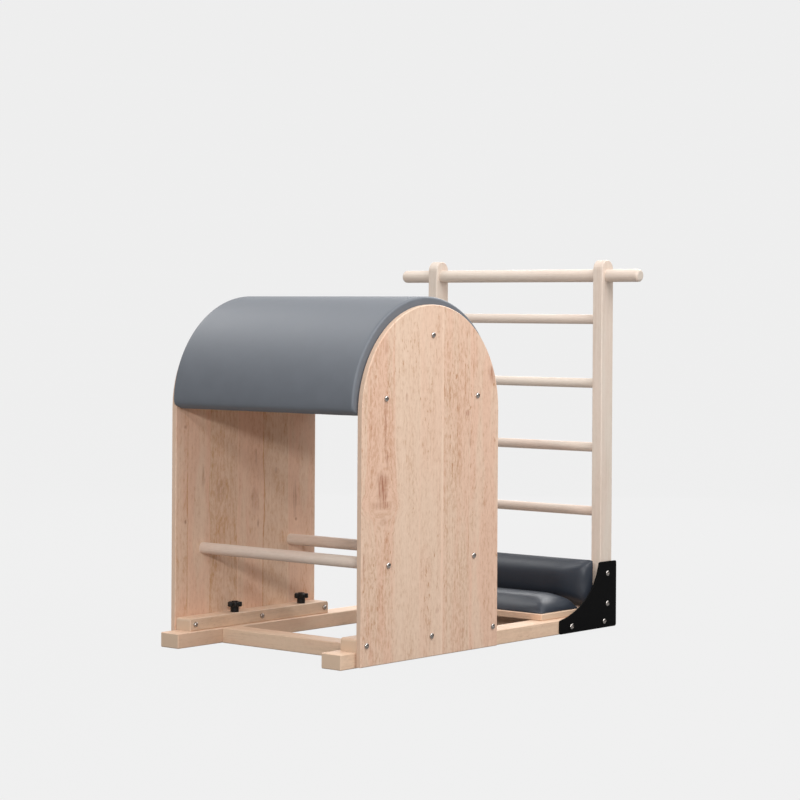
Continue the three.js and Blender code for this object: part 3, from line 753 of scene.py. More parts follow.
@dataclass(frozen=True)
class Studio:
    """The floor, backdrop and lights round the camera.

    The floor glows evenly for the camera, and lights the object as a greyer one would.
    """

    floor_reach: float = 20.0
    floor_sides: int = 48
    cove_radius: float = 5.0
    cove_steps: int = 8
    wall_height: float = 12.0
    backdrop: float = 0.855
    ambient: float = 0.92
    floor_tone: float = 0.25
    seen_tone: float = 0.012
    floor_glow: float = 0.85
    floor_roughness: float = 0.9
    target: Triple = (0.0, 0.0, 0.5)
    softboxes: tuple[Softbox, ...] = (
        Softbox("back_low_softbox", (-3.2, 4.2, 1.5), 3.0, 37, shadow=False),
        Softbox("back_softbox", (-2.0, 4.2, 2.8), 2.2, 42, shadow=False),
        Softbox("back_high_softbox", (0.0, 3.8, 3.6), 2.2, 88),
        Softbox("right_softbox", (3.6, 0.0, 3.6), 2.2, 42),
        Softbox("near_right_softbox", (2.0, -0.3, 2.4), 1.2, 22),
        Softbox("left_softbox", (-3.6, 0.0, 3.6), 2.2, 59),
        Softbox("low_lamp", (4.4, -4.6, 1.93), 0.4, 98),
        Softbox("high_lamp", (1.5, -4.6, 3.3), 0.4, 59),
    )

    def build(self) -> None:
        """Sets up the whole studio."""
        bpy.context.scene.view_settings.view_transform = "Standard"
        self.add_world()
        self.add_floor()
        Viewpoint().build()
        for softbox in self.softboxes:
            softbox.build(self.target)

    def add_world(self) -> None:
        """Adds a pale world, a little darker in the picture than in the light that it gives."""
        world = bpy.data.worlds.new("studio")
        graph = Graph(world)
        seen = graph.add("LightPath", {}).outputs["Is Camera Ray"]
        feeds = {"Value": seen, "To Min": self.ambient, "To Max": self.backdrop}
        strength = graph.add("MapRange", feeds).outputs["Result"]
        feeds = {"Color": (1.0, 1.0, 1.0, 1.0), "Strength": strength}
        background = graph.add("Background", feeds).outputs["Background"]
        graph.add("OutputWorld", {"Surface": background})
        bpy.context.scene.world = world

    def add_floor(self) -> None:
        """Adds the pale floor, which turns up into a wall far out on every side."""
        rings = [(0.0, 0.0), (self.floor_reach, 0.0)]
        for step in range(1, self.cove_steps + 1):
            angle = math.pi / 2 * step / self.cove_steps
            rise = self.cove_radius * (1 - math.cos(angle))
            rings.append((self.floor_reach + self.cove_radius * math.sin(angle), rise))
        rings.append((self.floor_reach + self.cove_radius, self.wall_height))
        graph = new_graph("floor")
        seen = graph.add("LightPath", {}).outputs["Is Camera Ray"]
        glow = graph.calc("MULTIPLY", seen, self.floor_glow)
        tone = graph.mix(seen, (self.floor_tone,) * 3, (self.seen_tone,) * 3)
        tones = {"Base_Color": tone, "Emission_Color": (1.0, 1.0, 1.0), "Emission_Strength": glow}
        coat = graph.surface(Roughness=self.floor_roughness, Specular_IOR_Level=0.0, **tones)
        bm = Workshop.spun(rings, self.floor_sides)
        mesh = bpy.data.meshes.new("floor")
        bm.to_mesh(mesh)
        bm.free()
        mesh.materials.append(coat)
        floor = Workshop.placed("floor", mesh)


class Workshop:
    """Turns profiles and bmeshes into finished pieces."""

    @staticmethod
    def piece(
        name: str,
        bm: bmesh.types.BMesh,
        material: bpy.types.Material,
        crease: float = math.radians(35),
    ) -> bpy.types.Object:
        """Makes an object of a bmesh, and frees the bmesh.

        Args:
            name: the piece's name.
            bm: its mesh, in place, in metres.
            material: its finish.
            crease: edges sharper than this angle stay sharp.

        Returns:
            The new object, linked to the scene.
        """
        mesh = bpy.data.meshes.new(name)
        bm.to_mesh(mesh)
        bm.free()
        mesh.materials.append(material)
        mesh.shade_smooth()
        mesh.set_sharp_from_angle(angle=crease)
        return Workshop.placed(name, mesh)

    @staticmethod
    def placed(name: str, mesh: bpy.types.Mesh) -> bpy.types.Object:
        """Puts a mesh in the scene.

        Args:
            name: the new object's name.
            mesh: its mesh, in place, in metres.

        Returns:
            The new object, at the origin.
        """
        piece = bpy.data.objects.new(name, mesh)
        bpy.context.scene.collection.objects.link(piece)
        return piece

    @staticmethod
    def fit(piece: bpy.types.Object, body: str, slot: Slot, node: str) -> None:
        """Makes a piece ride on a body in the place of a CAD node, and reports it.

        Args:
            piece: the finished piece.
            body: the body that carries it.
            slot: its material slot in the record; not used.
            node: the CAD node that it replaces.
        """
        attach(piece, body)
        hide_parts(node)
        log.info("%s on %s: %d faces", piece.name, body, len(piece.data.polygons))

    @staticmethod
    def spun(profile: Sequence[Point], steps: int) -> bmesh.types.BMesh:
        """Spins a profile all the way about Z.

        Args:
            profile: radii and heights in metres.
            steps: how many faces go round.

        Returns:
            The surface, closed where the profile meets the axis.
        """
        bm = bmesh.new()
        verts = [bm.verts.new((radius, 0.0, height)) for radius, height in profile]
        edges = [bm.edges.new(pair) for pair in zip(verts, verts[1:])]
        turn = {"axis": (0, 0, 1), "cent": (0, 0, 0), "angle": 2 * math.pi}
        bmesh.ops.spin(bm, geom=verts + edges, steps=steps, use_merge=True, **turn)
        bmesh.ops.remove_doubles(bm, verts=bm.verts, dist=MM / 1000)
        return bm


def hexagon_radius(across_flats: float, angle: float) -> float:
    """Returns how far a hexagon's outline is from its middle in a direction."""
    sixth = math.pi / 3
    return across_flats / 2 / math.cos((angle % sixth) - sixth / 2)


@dataclass(frozen=True)
class DomeBolt:
    """A dome-headed bolt with a hexagon socket, in metres. A capped one ends in a domed nut."""

    head: float = 17 * MM
    height: float = 5.6 * MM
    rim: float = 1.3 * MM
    seat_arris: float = 0.3 * MM
    shank: float = 8 * MM
    foot_arris: float = 0.8 * MM
    socket: float = 5.2 * MM
    socket_depth: float = 2.8 * MM
    nut_flats: float = 14.5 * MM
    nut_height: float = 8 * MM
    flats_share: float = 0.45
    sides: int = 24
    dome_steps: int = 6

    def mesh(self, length: float, capped: bool) -> bmesh.types.BMesh:
        """Builds the bolt along Z, seated at the origin.

        Args:
            length: how far the bolt reaches below its seat.
            capped: whether a cap nut is on its far end.

        Returns:
            The bolt's closed mesh.
        """
        if capped:
            length -= self.nut_height
        radius = self.head / 2
        profile = self.cap_nut(length) if capped else self.plain_foot(length)
        profile += [(self.shank / 2, -length), (self.shank / 2, 0.0)]
        profile += [(radius - self.seat_arris, 0.0), (radius, self.seat_arris), *self.dome()]
        bm = Workshop.spun(profile, self.sides)
        bmesh.ops.recalc_face_normals(bm, faces=bm.faces)
        self.cut_socket(bm)
        if capped:
            self.cut_flats(bm, -length - self.flats_share * self.nut_height, -length)
        return bm

    def dome(self) -> list[Point]:
        """Draws the head's round top, from its rim to the socket.

        Returns:
            Radii and heights in metres.
        """
        last = math.acos(self.socket / self.head)
        angles = [last * step / self.dome_steps for step in range(self.dome_steps + 1)]
        rise = self.height - self.rim
        return [(math.cos(a) * self.head / 2, self.rim + math.sin(a) * rise) for a in angles]

    def plain_foot(self, length: float) -> list[Point]:
        """Returns the shank's flat end, from the axis outwards."""
        return [(0.0, -length), (self.shank / 2 - self.foot_arris, -length)]

    def cap_nut(self, length: float) -> list[Point]:
        """Returns the cap nut's outline, from the axis outwards.

        Args:
            length: where the nut begins below the bolt's seat.

        Returns:
            Radii and heights in metres.
        """
        flats = self.flats_share * self.nut_height
        dome = self.nut_height - flats
        radius = self.nut_flats / 2
        angles = [math.pi / 2 * step / self.dome_steps for step in range(self.dome_steps + 1)]
        cap = [(math.sin(a) * radius, -length - flats - math.cos(a) * dome) for a in angles]
        corner = self.nut_flats / math.sqrt(3)
        return [*cap, (corner, -length - flats), (corner, -length)]

    def cut_socket(self, bm: bmesh.types.BMesh) -> None:
        """Squares the hole in the head to a hexagon and gives it walls and a floor.

        Args:
            bm: the bolt's mesh, open at the socket.
        """
        rim = [edge for edge in bm.edges if edge.is_boundary]
        for vert in {vert for edge in rim for vert in edge.verts}:
            angle = math.atan2(vert.co.y, vert.co.x)
            radius = hexagon_radius(self.socket, angle)
            vert.co.x, vert.co.y = math.cos(angle) * radius, math.sin(angle) * radius
        walls = bmesh.ops.extrude_edge_only(bm, edges=rim)["geom"]
        lower = [item for item in walls if isinstance(item, bmesh.types.BMVert)]
        bmesh.ops.translate(bm, verts=lower, vec=(0, 0, -self.socket_depth))
        floor = [edge for edge in bm.edges if edge.is_boundary]
        bmesh.ops.contextual_create(bm, geom=floor)
        bmesh.ops.recalc_face_normals(bm, faces=bm.faces)

    def cut_flats(self, bm: bmesh.types.BMesh, low: float, high: float) -> None:
        """Brings the round foot of a cap nut to a hexagon.

        Args:
            bm: the bolt's mesh.
            low: where the flats begin.
            high: where they end.
        """
        corner = self.nut_flats / math.sqrt(3)
        for vert in bm.verts:
            reach = math.hypot(vert.co.x, vert.co.y)
            if low - NEAR < vert.co.z < high + NEAR and abs(reach - corner) < NEAR:
                angle = math.atan2(vert.co.y, vert.co.x)
                share = hexagon_radius(self.nut_flats, angle) / reach
                vert.co.x, vert.co.y = vert.co.x * share, vert.co.y * share


@dataclass(frozen=True)
class StarKnob:
    """A moulded star knob over its hub, in metres."""

    diameter: float
    lobes: int = 5
    steps: int = 14
    hollow: float = 7.5 * MM
    hollow_power: int = 4
    head: float = 14 * MM
    cap_rise: float = 2.5 * MM
    cap: float = 19 * MM
    hub: float = 25 * MM
    bore: float = 8.5 * MM
    bore_depth: float = 20 * MM
    arris: float = 2.6 * MM
    arris_steps: int = 4
    inset: float = 0.1 * MM

    def mesh(self, height: float) -> bmesh.types.BMesh:
        """Builds the knob on the ground plane, from one star outline.

        Args:
            height: from the foot of the hub to the top of the cap.

        Returns:
            The knob's closed mesh.
        """
        bm = bmesh.new()
        radius = self.diameter / 2
        outline = {"radius": radius, "segments": self.lobes * self.steps}
        ring = bmesh.ops.create_circle(bm, cap_ends=True, **outline)
        neck = height - self.head - self.cap_rise
        for vert in ring["verts"]:
            wave = math.cos(self.lobes * math.atan2(vert.co.y, vert.co.x) / 2)
            share = 1 - self.hollow / radius * wave**self.hollow_power
            vert.co = Vector((vert.co.x * share, vert.co.y * share, neck))
        under = next(iter(bm.faces))
        raised = bmesh.ops.extrude_face_region(bm, geom=[under])["geom"]
        top = next(item for item in raised if isinstance(item, bmesh.types.BMFace))
        bmesh.ops.translate(bm, verts=top.verts, vec=(0, 0, self.head))
        rims = [e for e in bm.edges if abs(e.verts[0].co.z - e.verts[1].co.z) < NEAR]
        bmesh.ops.recalc_face_normals(bm, faces=bm.faces)
        bevel = {"offset": self.arris, "segments": self.arris_steps, "affect": "EDGES"}
        bmesh.ops.bevel(bm, geom=rims, profile=0.5, material=-1, **bevel)
        lower, upper = self.levels(bm)
        self.step(bm, upper, self.cap, self.cap_rise)
        self.step(bm, lower, self.hub, -neck)
        self.step(bm, self.levels(bm)[0], self.bore, self.bore_depth)
        bmesh.ops.recalc_face_normals(bm, faces=bm.faces)
        return bm

    def levels(self, bm: bmesh.types.BMesh) -> list[bmesh.types.BMFace]:
        """Returns the level faces with a whole outline, from the lowest up."""
        whole = [face for face in bm.faces if len(face.verts) == self.lobes * self.steps]
        return sorted(whole, key=lambda face: face.calc_center_median().z)

    def step(
        self, bm: bmesh.types.BMesh, face: bmesh.types.BMFace, diameter: float, rise: float
    ) -> None:
        """Insets a face to a circle, and raises or sinks the circle.

        Args:
            bm: the knob's mesh.
            face: one of its level faces.
            diameter: the circle's diameter.
            rise: how far it goes up, or down where it is less than 0.
        """
        bmesh.ops.inset_region(bm, faces=[face], thickness=self.inset, depth=0.0)
        for vert in face.verts:
            angle = math.atan2(vert.co.y, vert.co.x)
            vert.co.x, vert.co.y = math.cos(angle) * diameter / 2, math.sin(angle) * diameter / 2
        raised = bmesh.ops.extrude_face_region(bm, geom=[face])["geom"]
        verts = [item for item in raised if isinstance(item, bmesh.types.BMVert)]
        bmesh.ops.delete(bm, geom=[face], context="FACES_ONLY")
        bmesh.ops.translate(bm, verts=verts, vec=(0, 0, rise))


class Hardware:
    """The bolts, cap nuts, clamp bolts and star knobs."""

    knob_crease: float = math.radians(50)

    def __init__(self, nodes: dict[str, bpy.types.Object], frame: dict) -> None:
        """Notes the frame and mixes the metal and the plastic.

        Args:
            nodes: the frame's objects by name.
            frame: the whole frame, whose record says what each body carries.
        """
        self.nodes = nodes
        bodies = frame["record"]["behaviour"]["bodies"]
        self.body_of = {node: body for body, carried in bodies.items() for node in carried}
        self.steel = BrightSteel().material("bright_steel")
        plastic = PowderCoat(colour=(0.006, 0.006, 0.006), roughness=0.42, shine=0.35)
        self.plastic = plastic.material("black_plastic")

    def build(self) -> None:
        """Gives the clamp bolts steel, and replaces every other bolt and every knob by a finer one.
        """
        for name in sorted(self.nodes):
            if name.startswith("clamp_bolt"):
                assign(self.nodes[name], self.steel)
            elif name.startswith("clamp_knob"):
                self.knob(name)
            elif "_bolt_" in name:
                self.bolt(name)

    def bolt(self, name: str) -> None:
        """Puts a dome-headed bolt in a node's place.

        Args:
            name: the CAD node of the bolt.
        """
        box = Box.of(name)
        sign = 1 if box.centre.x > 0 else -1
        outer, inner = (box.high.x, box.low.x) if sign > 0 else (box.low.x, box.high.x)
        design = DomeBolt()
        seat = outer - sign * design.height
        bm = design.mesh(abs(seat - inner), name.startswith("runner"))
        turn = Matrix.Rotation(sign * math.pi / 2, 4, "Y")
        place = Matrix.Translation((seat, box.centre.y, box.centre.z))
        bmesh.ops.transform(bm, matrix=place @ turn, verts=bm.verts)
        piece = Workshop.piece(f"{name}_dome", bm, self.steel)
        Workshop.fit(piece, self.body_of[name], Slot.BRIGHT_STEEL, name)

    def knob(self, name: str) -> None:
        """Puts a star knob in a node's place.

        Args:
            name: the CAD node of the knob.
        """
        box = Box.of(name)
        bm = StarKnob(box.size.x / 2 + box.size.y / 2).mesh(box.size.z)
        place = (box.centre.x, box.centre.y, box.low.z)
        bmesh.ops.translate(bm, verts=bm.verts, vec=place)
        piece = Workshop.piece(f"{name}_star", bm, self.plastic, self.knob_crease)
        Workshop.fit(piece, self.body_of[name], Slot.BLACK_PLASTIC, name)


def smooth(value: float, low: float, high: float) -> float:
    """Returns 0 below a range and 1 above it, with a smooth rise between."""
    share = min(1.0, max(0.0, (value - low) / (high - low)))
    return share * share * (3 - 2 * share)


@dataclass(frozen=True)
class Stuffing:
    """How a cover swells over its foam, as a pressed cloth whose edges are held."""

    voxel: float = 5 * MM
    pressure: float = 4.0
    frames: int = 20
    reach: float = 7 * MM

    def remesh(self, mesh: bpy.types.Mesh) -> bpy.types.Mesh:
        """Returns a mesh of even quads over a closed one."""
        return self.applied(mesh, "REMESH", mode="VOXEL", voxel_size=self.voxel)

    def subdivided(self, mesh: bpy.types.Mesh) -> bpy.types.Mesh:
        """Returns a mesh with one level of subdivision."""
        return self.applied(mesh, "SUBSURF", levels=1, render_levels=1)

    @staticmethod
    def evaluated(piece: bpy.types.Object) -> bpy.types.Mesh:
        """Takes a mesh as its modifiers leave it, and removes its object.

        Args:
            piece: the object with the modifiers.

        Returns:
            The new mesh.
        """
        graph = bpy.context.evaluated_depsgraph_get()
        result = bpy.data.meshes.new_from_object(piece.evaluated_get(graph))
        bpy.data.objects.remove(piece)
        return result

    def applied(self, mesh: bpy.types.Mesh, kind: str, **settings: object) -> bpy.types.Mesh:
        """Applies a modifier.

        Args:
            mesh: the mesh before it.
            kind: the modifier's type.
            settings: the modifier's own properties.

        Returns:
            The mesh after it.
        """
        piece = Workshop.placed("stuffing", mesh)
        modifier = piece.modifiers.new("change", kind)
        for name, value in settings.items():
            setattr(modifier, name, value)
        return self.evaluated(piece)

    def swollen(self, mesh: bpy.types.Mesh, held: Callable[[Vector], bool]) -> bpy.types.Mesh:
        """Blows a closed cover up as cloth.

        Args:
            mesh: the cover before it is stuffed.
            held: says whether a point of it is tacked down.

        Returns:
            The swollen cover, no point of which has moved further than the reach.
        """
        piece = Workshop.placed("stuffing", mesh)
        group = piece.vertex_groups.new(name="held")
        group.add([v.index for v in mesh.vertices if held(v.co)], 1.0, "REPLACE")
        settings = piece.modifiers.new("cloth", "CLOTH").settings
        settings.vertex_group_mass = group.name
        settings.use_pressure = True
        settings.uniform_pressure_force = self.pressure
        settings.effector_weights.gravity = 0.0
        for number in range(1, self.frames + 1):
            bpy.context.scene.frame_set(number)
        result = self.evaluated(piece)
        for before, after in zip(mesh.vertices, result.vertices):
            moved = after.co - before.co
            if moved.length > self.reach:
                after.co = before.co + moved.normalized() * self.reach
        bpy.context.scene.frame_set(1)
        return result


@dataclass(frozen=True)
class FootPad:
    """A cushion of the foot seat: the node it replaces, and which way its crown faces."""

    node: str
    up: Vector
    fill: float
    corner: float
    tacked: float = 3 * MM
    tight: float = 3 * MM
    tight_above: float = 20 * MM
    softness: int = 60
    settling: int = 24
    pleat: float = 0.5 * MM
    pleats: int = 8
    pleat_foot: float = 1 * MM
    pleat_rise: Range = (2 * MM, 14 * MM)
    pleat_fall: Range = (16 * MM, 34 * MM)

    def build(self, nodes: dict[str, bpy.types.Object], vinyl: bpy.types.Material) -> None:
        """Stuffs the cushion and pinches its corners.

        Args:
            nodes: the frame's objects by name.
            vinyl: the cushion's cover.
        """
        box = Box.of(self.node)
        bm = bmesh.new()
        bm.from_mesh(nodes[self.node].data)
        bmesh.ops.remove_doubles(bm, verts=bm.verts, dist=NEAR)
        self.draw_in(bm, box)
        mesh = bpy.data.meshes.new(self.node)
        bm.to_mesh(mesh)
        bm.free()
        stuffing = Stuffing()
        mesh = stuffing.remesh(mesh)
        self.round_corners(mesh, box)
        self.soften(mesh, box, self.softness)
        mesh = stuffing.swollen(mesh, lambda place: self.height(place, box) < self.tacked)
        self.soften(mesh, box, self.settling)
        mesh = stuffing.subdivided(mesh)
        self.pinch(mesh, box)
        mesh.materials.clear()
        mesh.materials.append(vinyl)
        mesh.shade_smooth()
        piece = Workshop.placed(f"{self.node}_cover", mesh)
        Workshop.fit(piece, Body.BASE.value, Slot.VINYL, self.node)

    @property
    def across(self) -> list[int]:
        """The two axes along the board that the cushion is on."""
        return [axis for axis in range(3) if abs(self.up[axis]) < 0.5]

    def height(self, place: Vector, box: Box) -> float:
        """Returns how far a point is above the board that the cushion is on."""
        floor = box.low if sum(self.up) > 0 else box.high
        return (place - floor).dot(self.up)

    def draw_in(self, bm: bmesh.types.BMesh, box: Box) -> None:
        """Makes the cushion smaller by what its stuffing gives back.

        Args:
            bm: the cushion's mesh.
            box: the CAD node's box.
        """
        for vert in bm.verts:
            rise = self.height(vert.co, box)
            if rise > self.tight:
                vert.co -= self.up * self.tight * smooth(rise, self.tight, self.tight_above)

    def round_corners(self, mesh: bpy.types.Mesh, box: Box) -> None:
        """Rounds the cushion's four corners, as they are seen from above its crown.

        Args:
            mesh: the cushion's mesh.
            box: the CAD node's box.
        """
        for vert in mesh.vertices:
            offset = vert.co - box.centre
            past = [
                max(0.0, abs(offset[axis]) - box.size[axis] / 2 + self.corner)
                for axis in self.across
            ]
            reach = math.hypot(*past)
            if reach <= self.corner:
                continue
            for axis, distance in zip(self.across, past):
                change = distance * (1 - self.corner / reach)
                vert.co[axis] -= math.copysign(change, offset[axis])

    def soften(self, mesh: bpy.types.Mesh, box: Box, passes: int) -> None:
        """Rounds the ridges, but not the edge on the board.

        Args:
            mesh: the cushion's mesh.
            box: the CAD node's box.
            passes: how many times each point moves halfway to the middle of its neighbours.
        """
        bm = bmesh.new()
        bm.from_mesh(mesh)
        free = [vert for vert in bm.verts if self.height(vert.co, box) > self.tacked]
        every_axis = {"use_axis_x": True, "use_axis_y": True, "use_axis_z": True}
        for _ in range(passes):
            bmesh.ops.smooth_vert(bm, verts=free, factor=0.5, **every_axis)
        bm.to_mesh(mesh)
        bm.free()

    def pinch(self, mesh: bpy.types.Mesh, box: Box) -> None:
        """Folds pleats that radiate from each corner at the board.

        Args:
            mesh: the cushion's mesh.
            box: the CAD node's box.
        """
        normals = [vert.normal.copy() for vert in mesh.vertices]
        for vert, normal in zip(mesh.vertices, normals):
            rise = self.height(vert.co, box)
            if rise < self.pleat_foot:
                continue
            offsets = []
            for axis in self.across:
                nearest = box.low[axis] if vert.co[axis] < box.centre[axis] else box.high[axis]
                offsets.append(abs(nearest - vert.co[axis]))
            distance = math.sqrt(offsets[0] ** 2 + offsets[1] ** 2 + rise**2)
            if distance > self.pleat_fall[1]:
                continue
            angle = math.atan2(offsets[1], offsets[0])
            fade = smooth(distance, *self.pleat_rise) * (1 - smooth(distance, *self.pleat_fall))
            vert.co += normal * self.pleat * fade * math.cos(self.pleats * angle)


@dataclass(frozen=True)
class BarrelPad:
    """The cushion bent over the barrel's shell, rolled at its ends and tacked below."""

    shell_gap: float = 0.3 * MM
    swell: float = 23 * MM
    swell_power: float = 0.1
    end_round: float = 7 * MM
    end_drop: float = 8 * MM
    wall_shares: Range = (0.35, 0.7)
    hem_round: float = 26 * MM
    hem_share: float = 0.78
    tack_pitch: float = 38 * MM
    tack_pull: float = 1.6 * MM
    tack_reach: float = 45 * MM
    tack_lift: float = 0.8 * MM
    lift_reach: float = 12 * MM
    columns: int = 64
    end_columns: int = 8
    rows: int = 120
    hem_rows: int = 3
    crease: float = math.radians(80)
    fill: float = 0.8

    def build(self, vinyl: bpy.types.Material) -> None:
        """Bends the cushion over the shell.

        Args:
            vinyl: the cushion's cover.
        """
        node = Box.of("barrel_pad")
        panel = Box.of("side_panel_right")
        radius = panel.size.y / 2
        centre = Vector((0.0, panel.centre.y, panel.high.z - radius))
        inner = Box.of("barrel_shell").size.y / 2 + self.shell_gap
        skirt = centre.z - node.low.z
        bm = bmesh.new()
        section = [
            bm.verts.new((x, centre.y - reach, centre.z))
            for x, reach in self.section(node.high.x, inner, radius)
        ]
        edges = [bm.edges.new(pair) for pair in zip(section, section[1:] + section[:1])]
        turn = {"axis": (1, 0, 0), "cent": centre, "angle": -math.pi}
        bmesh.ops.spin(bm, geom=section + edges, steps=self.rows, use_merge=False, **turn)
        for _ in range(self.hem_rows):
            hems = [edge for edge in bm.edges if edge.is_boundary]
            lower = bmesh.ops.extrude_edge_only(bm, edges=hems)["geom"]
            verts = [item for item in lower if isinstance(item, bmesh.types.BMVert)]
            bmesh.ops.translate(bm, verts=verts, vec=(0, 0, -skirt / self.hem_rows))
        bmesh.ops.holes_fill(bm, edges=[edge for edge in bm.edges if edge.is_boundary], sides=0)
        bmesh.ops.recalc_face_normals(bm, faces=bm.faces)
        for vert in bm.verts:
            self.swell_out(vert, centre, inner, skirt)
        piece = Workshop.piece("barrel_pad_cover", bm, vinyl, self.crease)
        Workshop.fit(piece, Body.BARREL.value, Slot.VINYL, "barrel_pad")

    def section(self, half: float, inner: float, outer: float) -> list[Point]:
        """Draws the cushion's section, from the inner face round over the outer one.

        Args:
            half: half of its length.
            inner: the radius of its inner face.
            outer: the radius of its outer face before it is stuffed.

        Returns:
            X and radius of each point.
        """
        points = [(half * (1 - 2 * step / self.columns), inner) for step in range(self.columns + 1)]
        wall = [inner + (outer - self.end_drop - inner) * share for share in self.wall_shares]
        points += [(-half, reach) for reach in wall]
        rolled = []
        for step in range(self.end_columns + 1):
            angle = math.pi / 2 * step / self.end_columns
            across = self.end_round * (1 - math.cos(angle))
            rolled.append((half - across, outer - self.end_drop * (1 - math.sin(angle))))
        points += [(-x, reach) for x, reach in rolled]
        flat = half - self.end_round
        middle = self.columns - 2 * self.end_columns
        points += [(flat * (2 * step / middle - 1), outer) for step in range(1, middle)]
        points += rolled[::-1]
        points += [(half, reach) for reach in reversed(wall)]
        return points

    def swell_out(
        self, vert: bmesh.types.BMVert, centre: Vector, inner: float, skirt: float
    ) -> None:
        """Moves a point out to the crown, in at the hems and about its nearest tack.

        Args:
            vert: the point.
            centre: a point on the axis that the cushion bends about.
            inner: the radius of its inner face.
            skirt: how far it hangs straight down below the bend.
        """
        from_centre = vert.co - centre
        drop = max(0.0, -from_centre.z)
        reach = math.hypot(from_centre.y, max(0.0, from_centre.z))
        depth = reach - inner
        if depth < NEAR:
            return
        angle = math.atan2(max(0.0, from_centre.z), abs(from_centre.y))
        hem = angle * reach + skirt - drop
        share = min(1.0, max(0.0, hem / self.hem_round))
        thickness = self.hem_share + (1 - self.hem_share) * math.sqrt(1 - (1 - share) ** 2)
        swell = self.swell * math.sin(angle) ** self.swell_power
        tack = math.cos(2 * math.pi * vert.co.x / self.tack_pitch)
        pull = self.tack_pull * (1 - smooth(hem, 0.0, self.tack_reach)) * (tack - 1) / 2
        new_reach = inner + (depth + swell) * thickness + pull
        out = Vector((0.0, from_centre.y, max(0.0, from_centre.z))).normalized()
        vert.co += out * (new_reach - reach)
        vert.co.z += self.tack_lift * (1 + tack) / 2 * (1 - smooth(hem, 0.0, self.lift_reach))


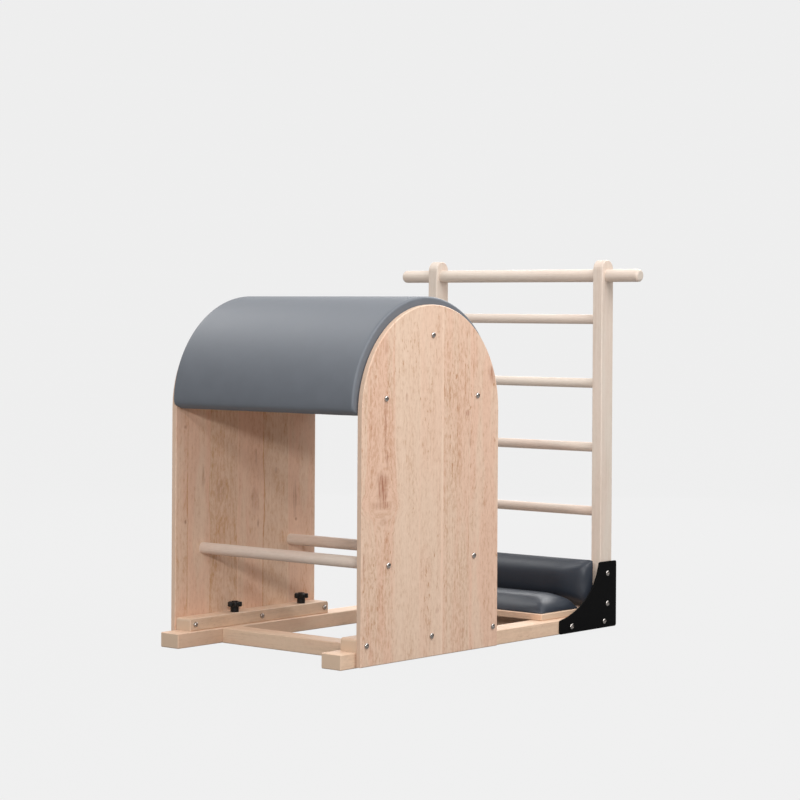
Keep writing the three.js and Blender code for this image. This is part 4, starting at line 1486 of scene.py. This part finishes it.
class Joinery:
    """The boards of the barrel, the base and the ladder, each cut from its own species."""

    oak = Timber("oak", (0.80, 0.61, 0.475), (0.712, 0.524, 0.395), (0.48, 0.265, 0.152))
    calm_oak = Timber(
        "calm_oak", (0.86, 0.655, 0.50), (0.77, 0.565, 0.425), (0.57, 0.31, 0.145),
        fibre=0.54, streak=0.26, fleck=0.16, ring=0.12, pore=0.14,
    )
    beech = Timber(
        "beech", (0.82, 0.625, 0.465), (0.75, 0.556, 0.405), (0.52, 0.35, 0.23),
        fibre=0.24, fleck=0.2,
    )
    maple = Timber(
        "maple", (0.775, 0.69, 0.605), (0.715, 0.62, 0.533), (0.55, 0.435, 0.34),
        fibre=0.16, ring=0.06, pore=0.06, fleck=0.0,
    )
    ply = Timber(
        "ply", (0.66, 0.51, 0.37), (0.58, 0.43, 0.30), (0.36, 0.24, 0.16),
        streak=0.25, ring=0.05,
    )
    right_staves = (
        Stave(21, 0.5, 0.7), Stave(116, 0.46, 0.9), Stave(4, 0.6, 0.4), Stave(105, 0.55, 0.1),
        Stave(4, 0.68, 0.3), Stave(93, 0.58, 0.3), Stave(9, 0.85, 0.5), Stave(119, 0.46, 0.5),
        Stave(4, 0.7, 0.3), Stave(133, 0.54, 0.8),
    )
    right_knots = (
        Knot(-500, 490, 60, 120), Knot(-500, 444, 92, 34, 0.7), Knot(-494, 398, 44, 40, 0.4),
        Knot(-489, 640, 12, 170, 0.8), Knot(-480, 566, 11, 70, 0.8), Knot(-489, 715, 22, 50, 0.6),
        Knot(-488, 878, 18, 60, 0.5), Knot(-14, 795, 40, 70, 0.8), Knot(-125, 688, 26, 26, 0.7),
        Knot(-578, 272, 9, 110, 0.7), Knot(-143, 55, 10, 44, 0.6), Knot(-113, 612, 12, 54, 0.6),
        Knot(-397, 741, 12, 34, 0.6), Knot(-259, 132, 18, 24, 0.5),
    )
    left_staves = (
        Stave(46, 0.5, 1.0), Stave(4, 0.15, 1.0), Stave(92, 0.58, 0.7), Stave(4, 0.25, 0.5),
        Stave(115, 0.42, 0.2), Stave(4, 0.75, 0.4), Stave(108, 0.54, 0.6), Stave(4, 0.2, 0.5),
        Stave(109, 0.46, 0.1), Stave(4, 0.8, 0.5), Stave(123, 0.56, 1.0),
    )
    left_knots = (
        Knot(-549, 636, 14, 16, 0.7), Knot(-549, 357, 14, 16, 0.7), Knot(-248, 541, 14, 60, 0.6),
        Knot(-159, 491, 14, 22, 0.6), Knot(-252, 405, 46, 110, 0.4), Knot(-72, 400, 24, 130, 0.5),
        Knot(-67, 336, 12, 14, 0.8), Knot(-238, 334, 12, 34, 0.6), Knot(-475, 482, 16, 90, 0.4),
        Knot(-403, 443, 60, 80, 0.25),
    )
    panels = (
        GluedPanel("side_panel_right", oak, right_staves, right_knots),
        GluedPanel("side_panel_left", calm_oak, left_staves, left_knots),
    )
    boards = (
        (beech, Axis.Y, ("base_rail", "slide_runner")),
        (beech, Axis.X, ("front_cross_member", "rear_cross_member", "seat_board", "back_board")),
        (beech, Axis.X, ("crown_batten", "front_batten", "rear_batten")),
        (maple, Axis.Z, ("ladder_upright",)),
        (maple, Axis.X, ("ladder_rung", "top_rail", "front_stretcher", "rear_stretcher")),
        (ply, Axis.X, ("barrel_shell",)),
    )

    def build(self, nodes: dict[str, bpy.types.Object]) -> None:
        """Gives every timber node its board.

        Args:
            nodes: the frame's objects by name.
        """
        for panel in self.panels:
            assign(nodes[panel.node], panel.material())
        for name, piece in nodes.items():
            for timber, grain, kinds in self.boards:
                if name.startswith(kinds) and "_bolt_" not in name:
                    assign(piece, timber.board(name, grain))


def assign(piece: bpy.types.Object, material: bpy.types.Material) -> None:
    """Puts a material in every slot of a CAD node's object.

    Args:
        piece: the CAD node's object.
        material: its finish.
    """
    if not piece.material_slots:
        piece.data.materials.append(material)
    for material_slot in piece.material_slots:
        material_slot.material = material


def main() -> None:
    """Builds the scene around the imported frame."""
    logging.basicConfig(level=logging.INFO, format="%(name)s: %(message)s")
    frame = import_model()
    nodes = frame["nodes"]
    Studio().build()
    Joinery().build(nodes)
    vinyl = Vinyl().material("grey_vinyl")
    # The foot pads get a darker, bluer copy of the grey vinyl: painted shade for the shade that the
    # foot seat sits in behind the barrel.
    shaded_vinyl = Vinyl(colour=(0.025, 0.031, 0.043), roughness=0.42).material("shaded_grey_vinyl")
    coat = PowderCoat().material("powder_coat")
    Hardware(nodes, frame).build()
    BarrelPad().build(vinyl)
    seat_pad = FootPad("seat_pad", Vector((0, 0, 1)), fill=0.7, corner=5 * MM)
    back_pad = FootPad("back_pad", Vector((0, -1, 0)), fill=0.75, corner=18 * MM)
    for cushion in (seat_pad, back_pad):
        cushion.build(nodes, shaded_vinyl)
    for name, piece in nodes.items():
        if name.startswith("corner_plate"):
            assign(piece, coat)


if __name__ == "__main__":
    main()
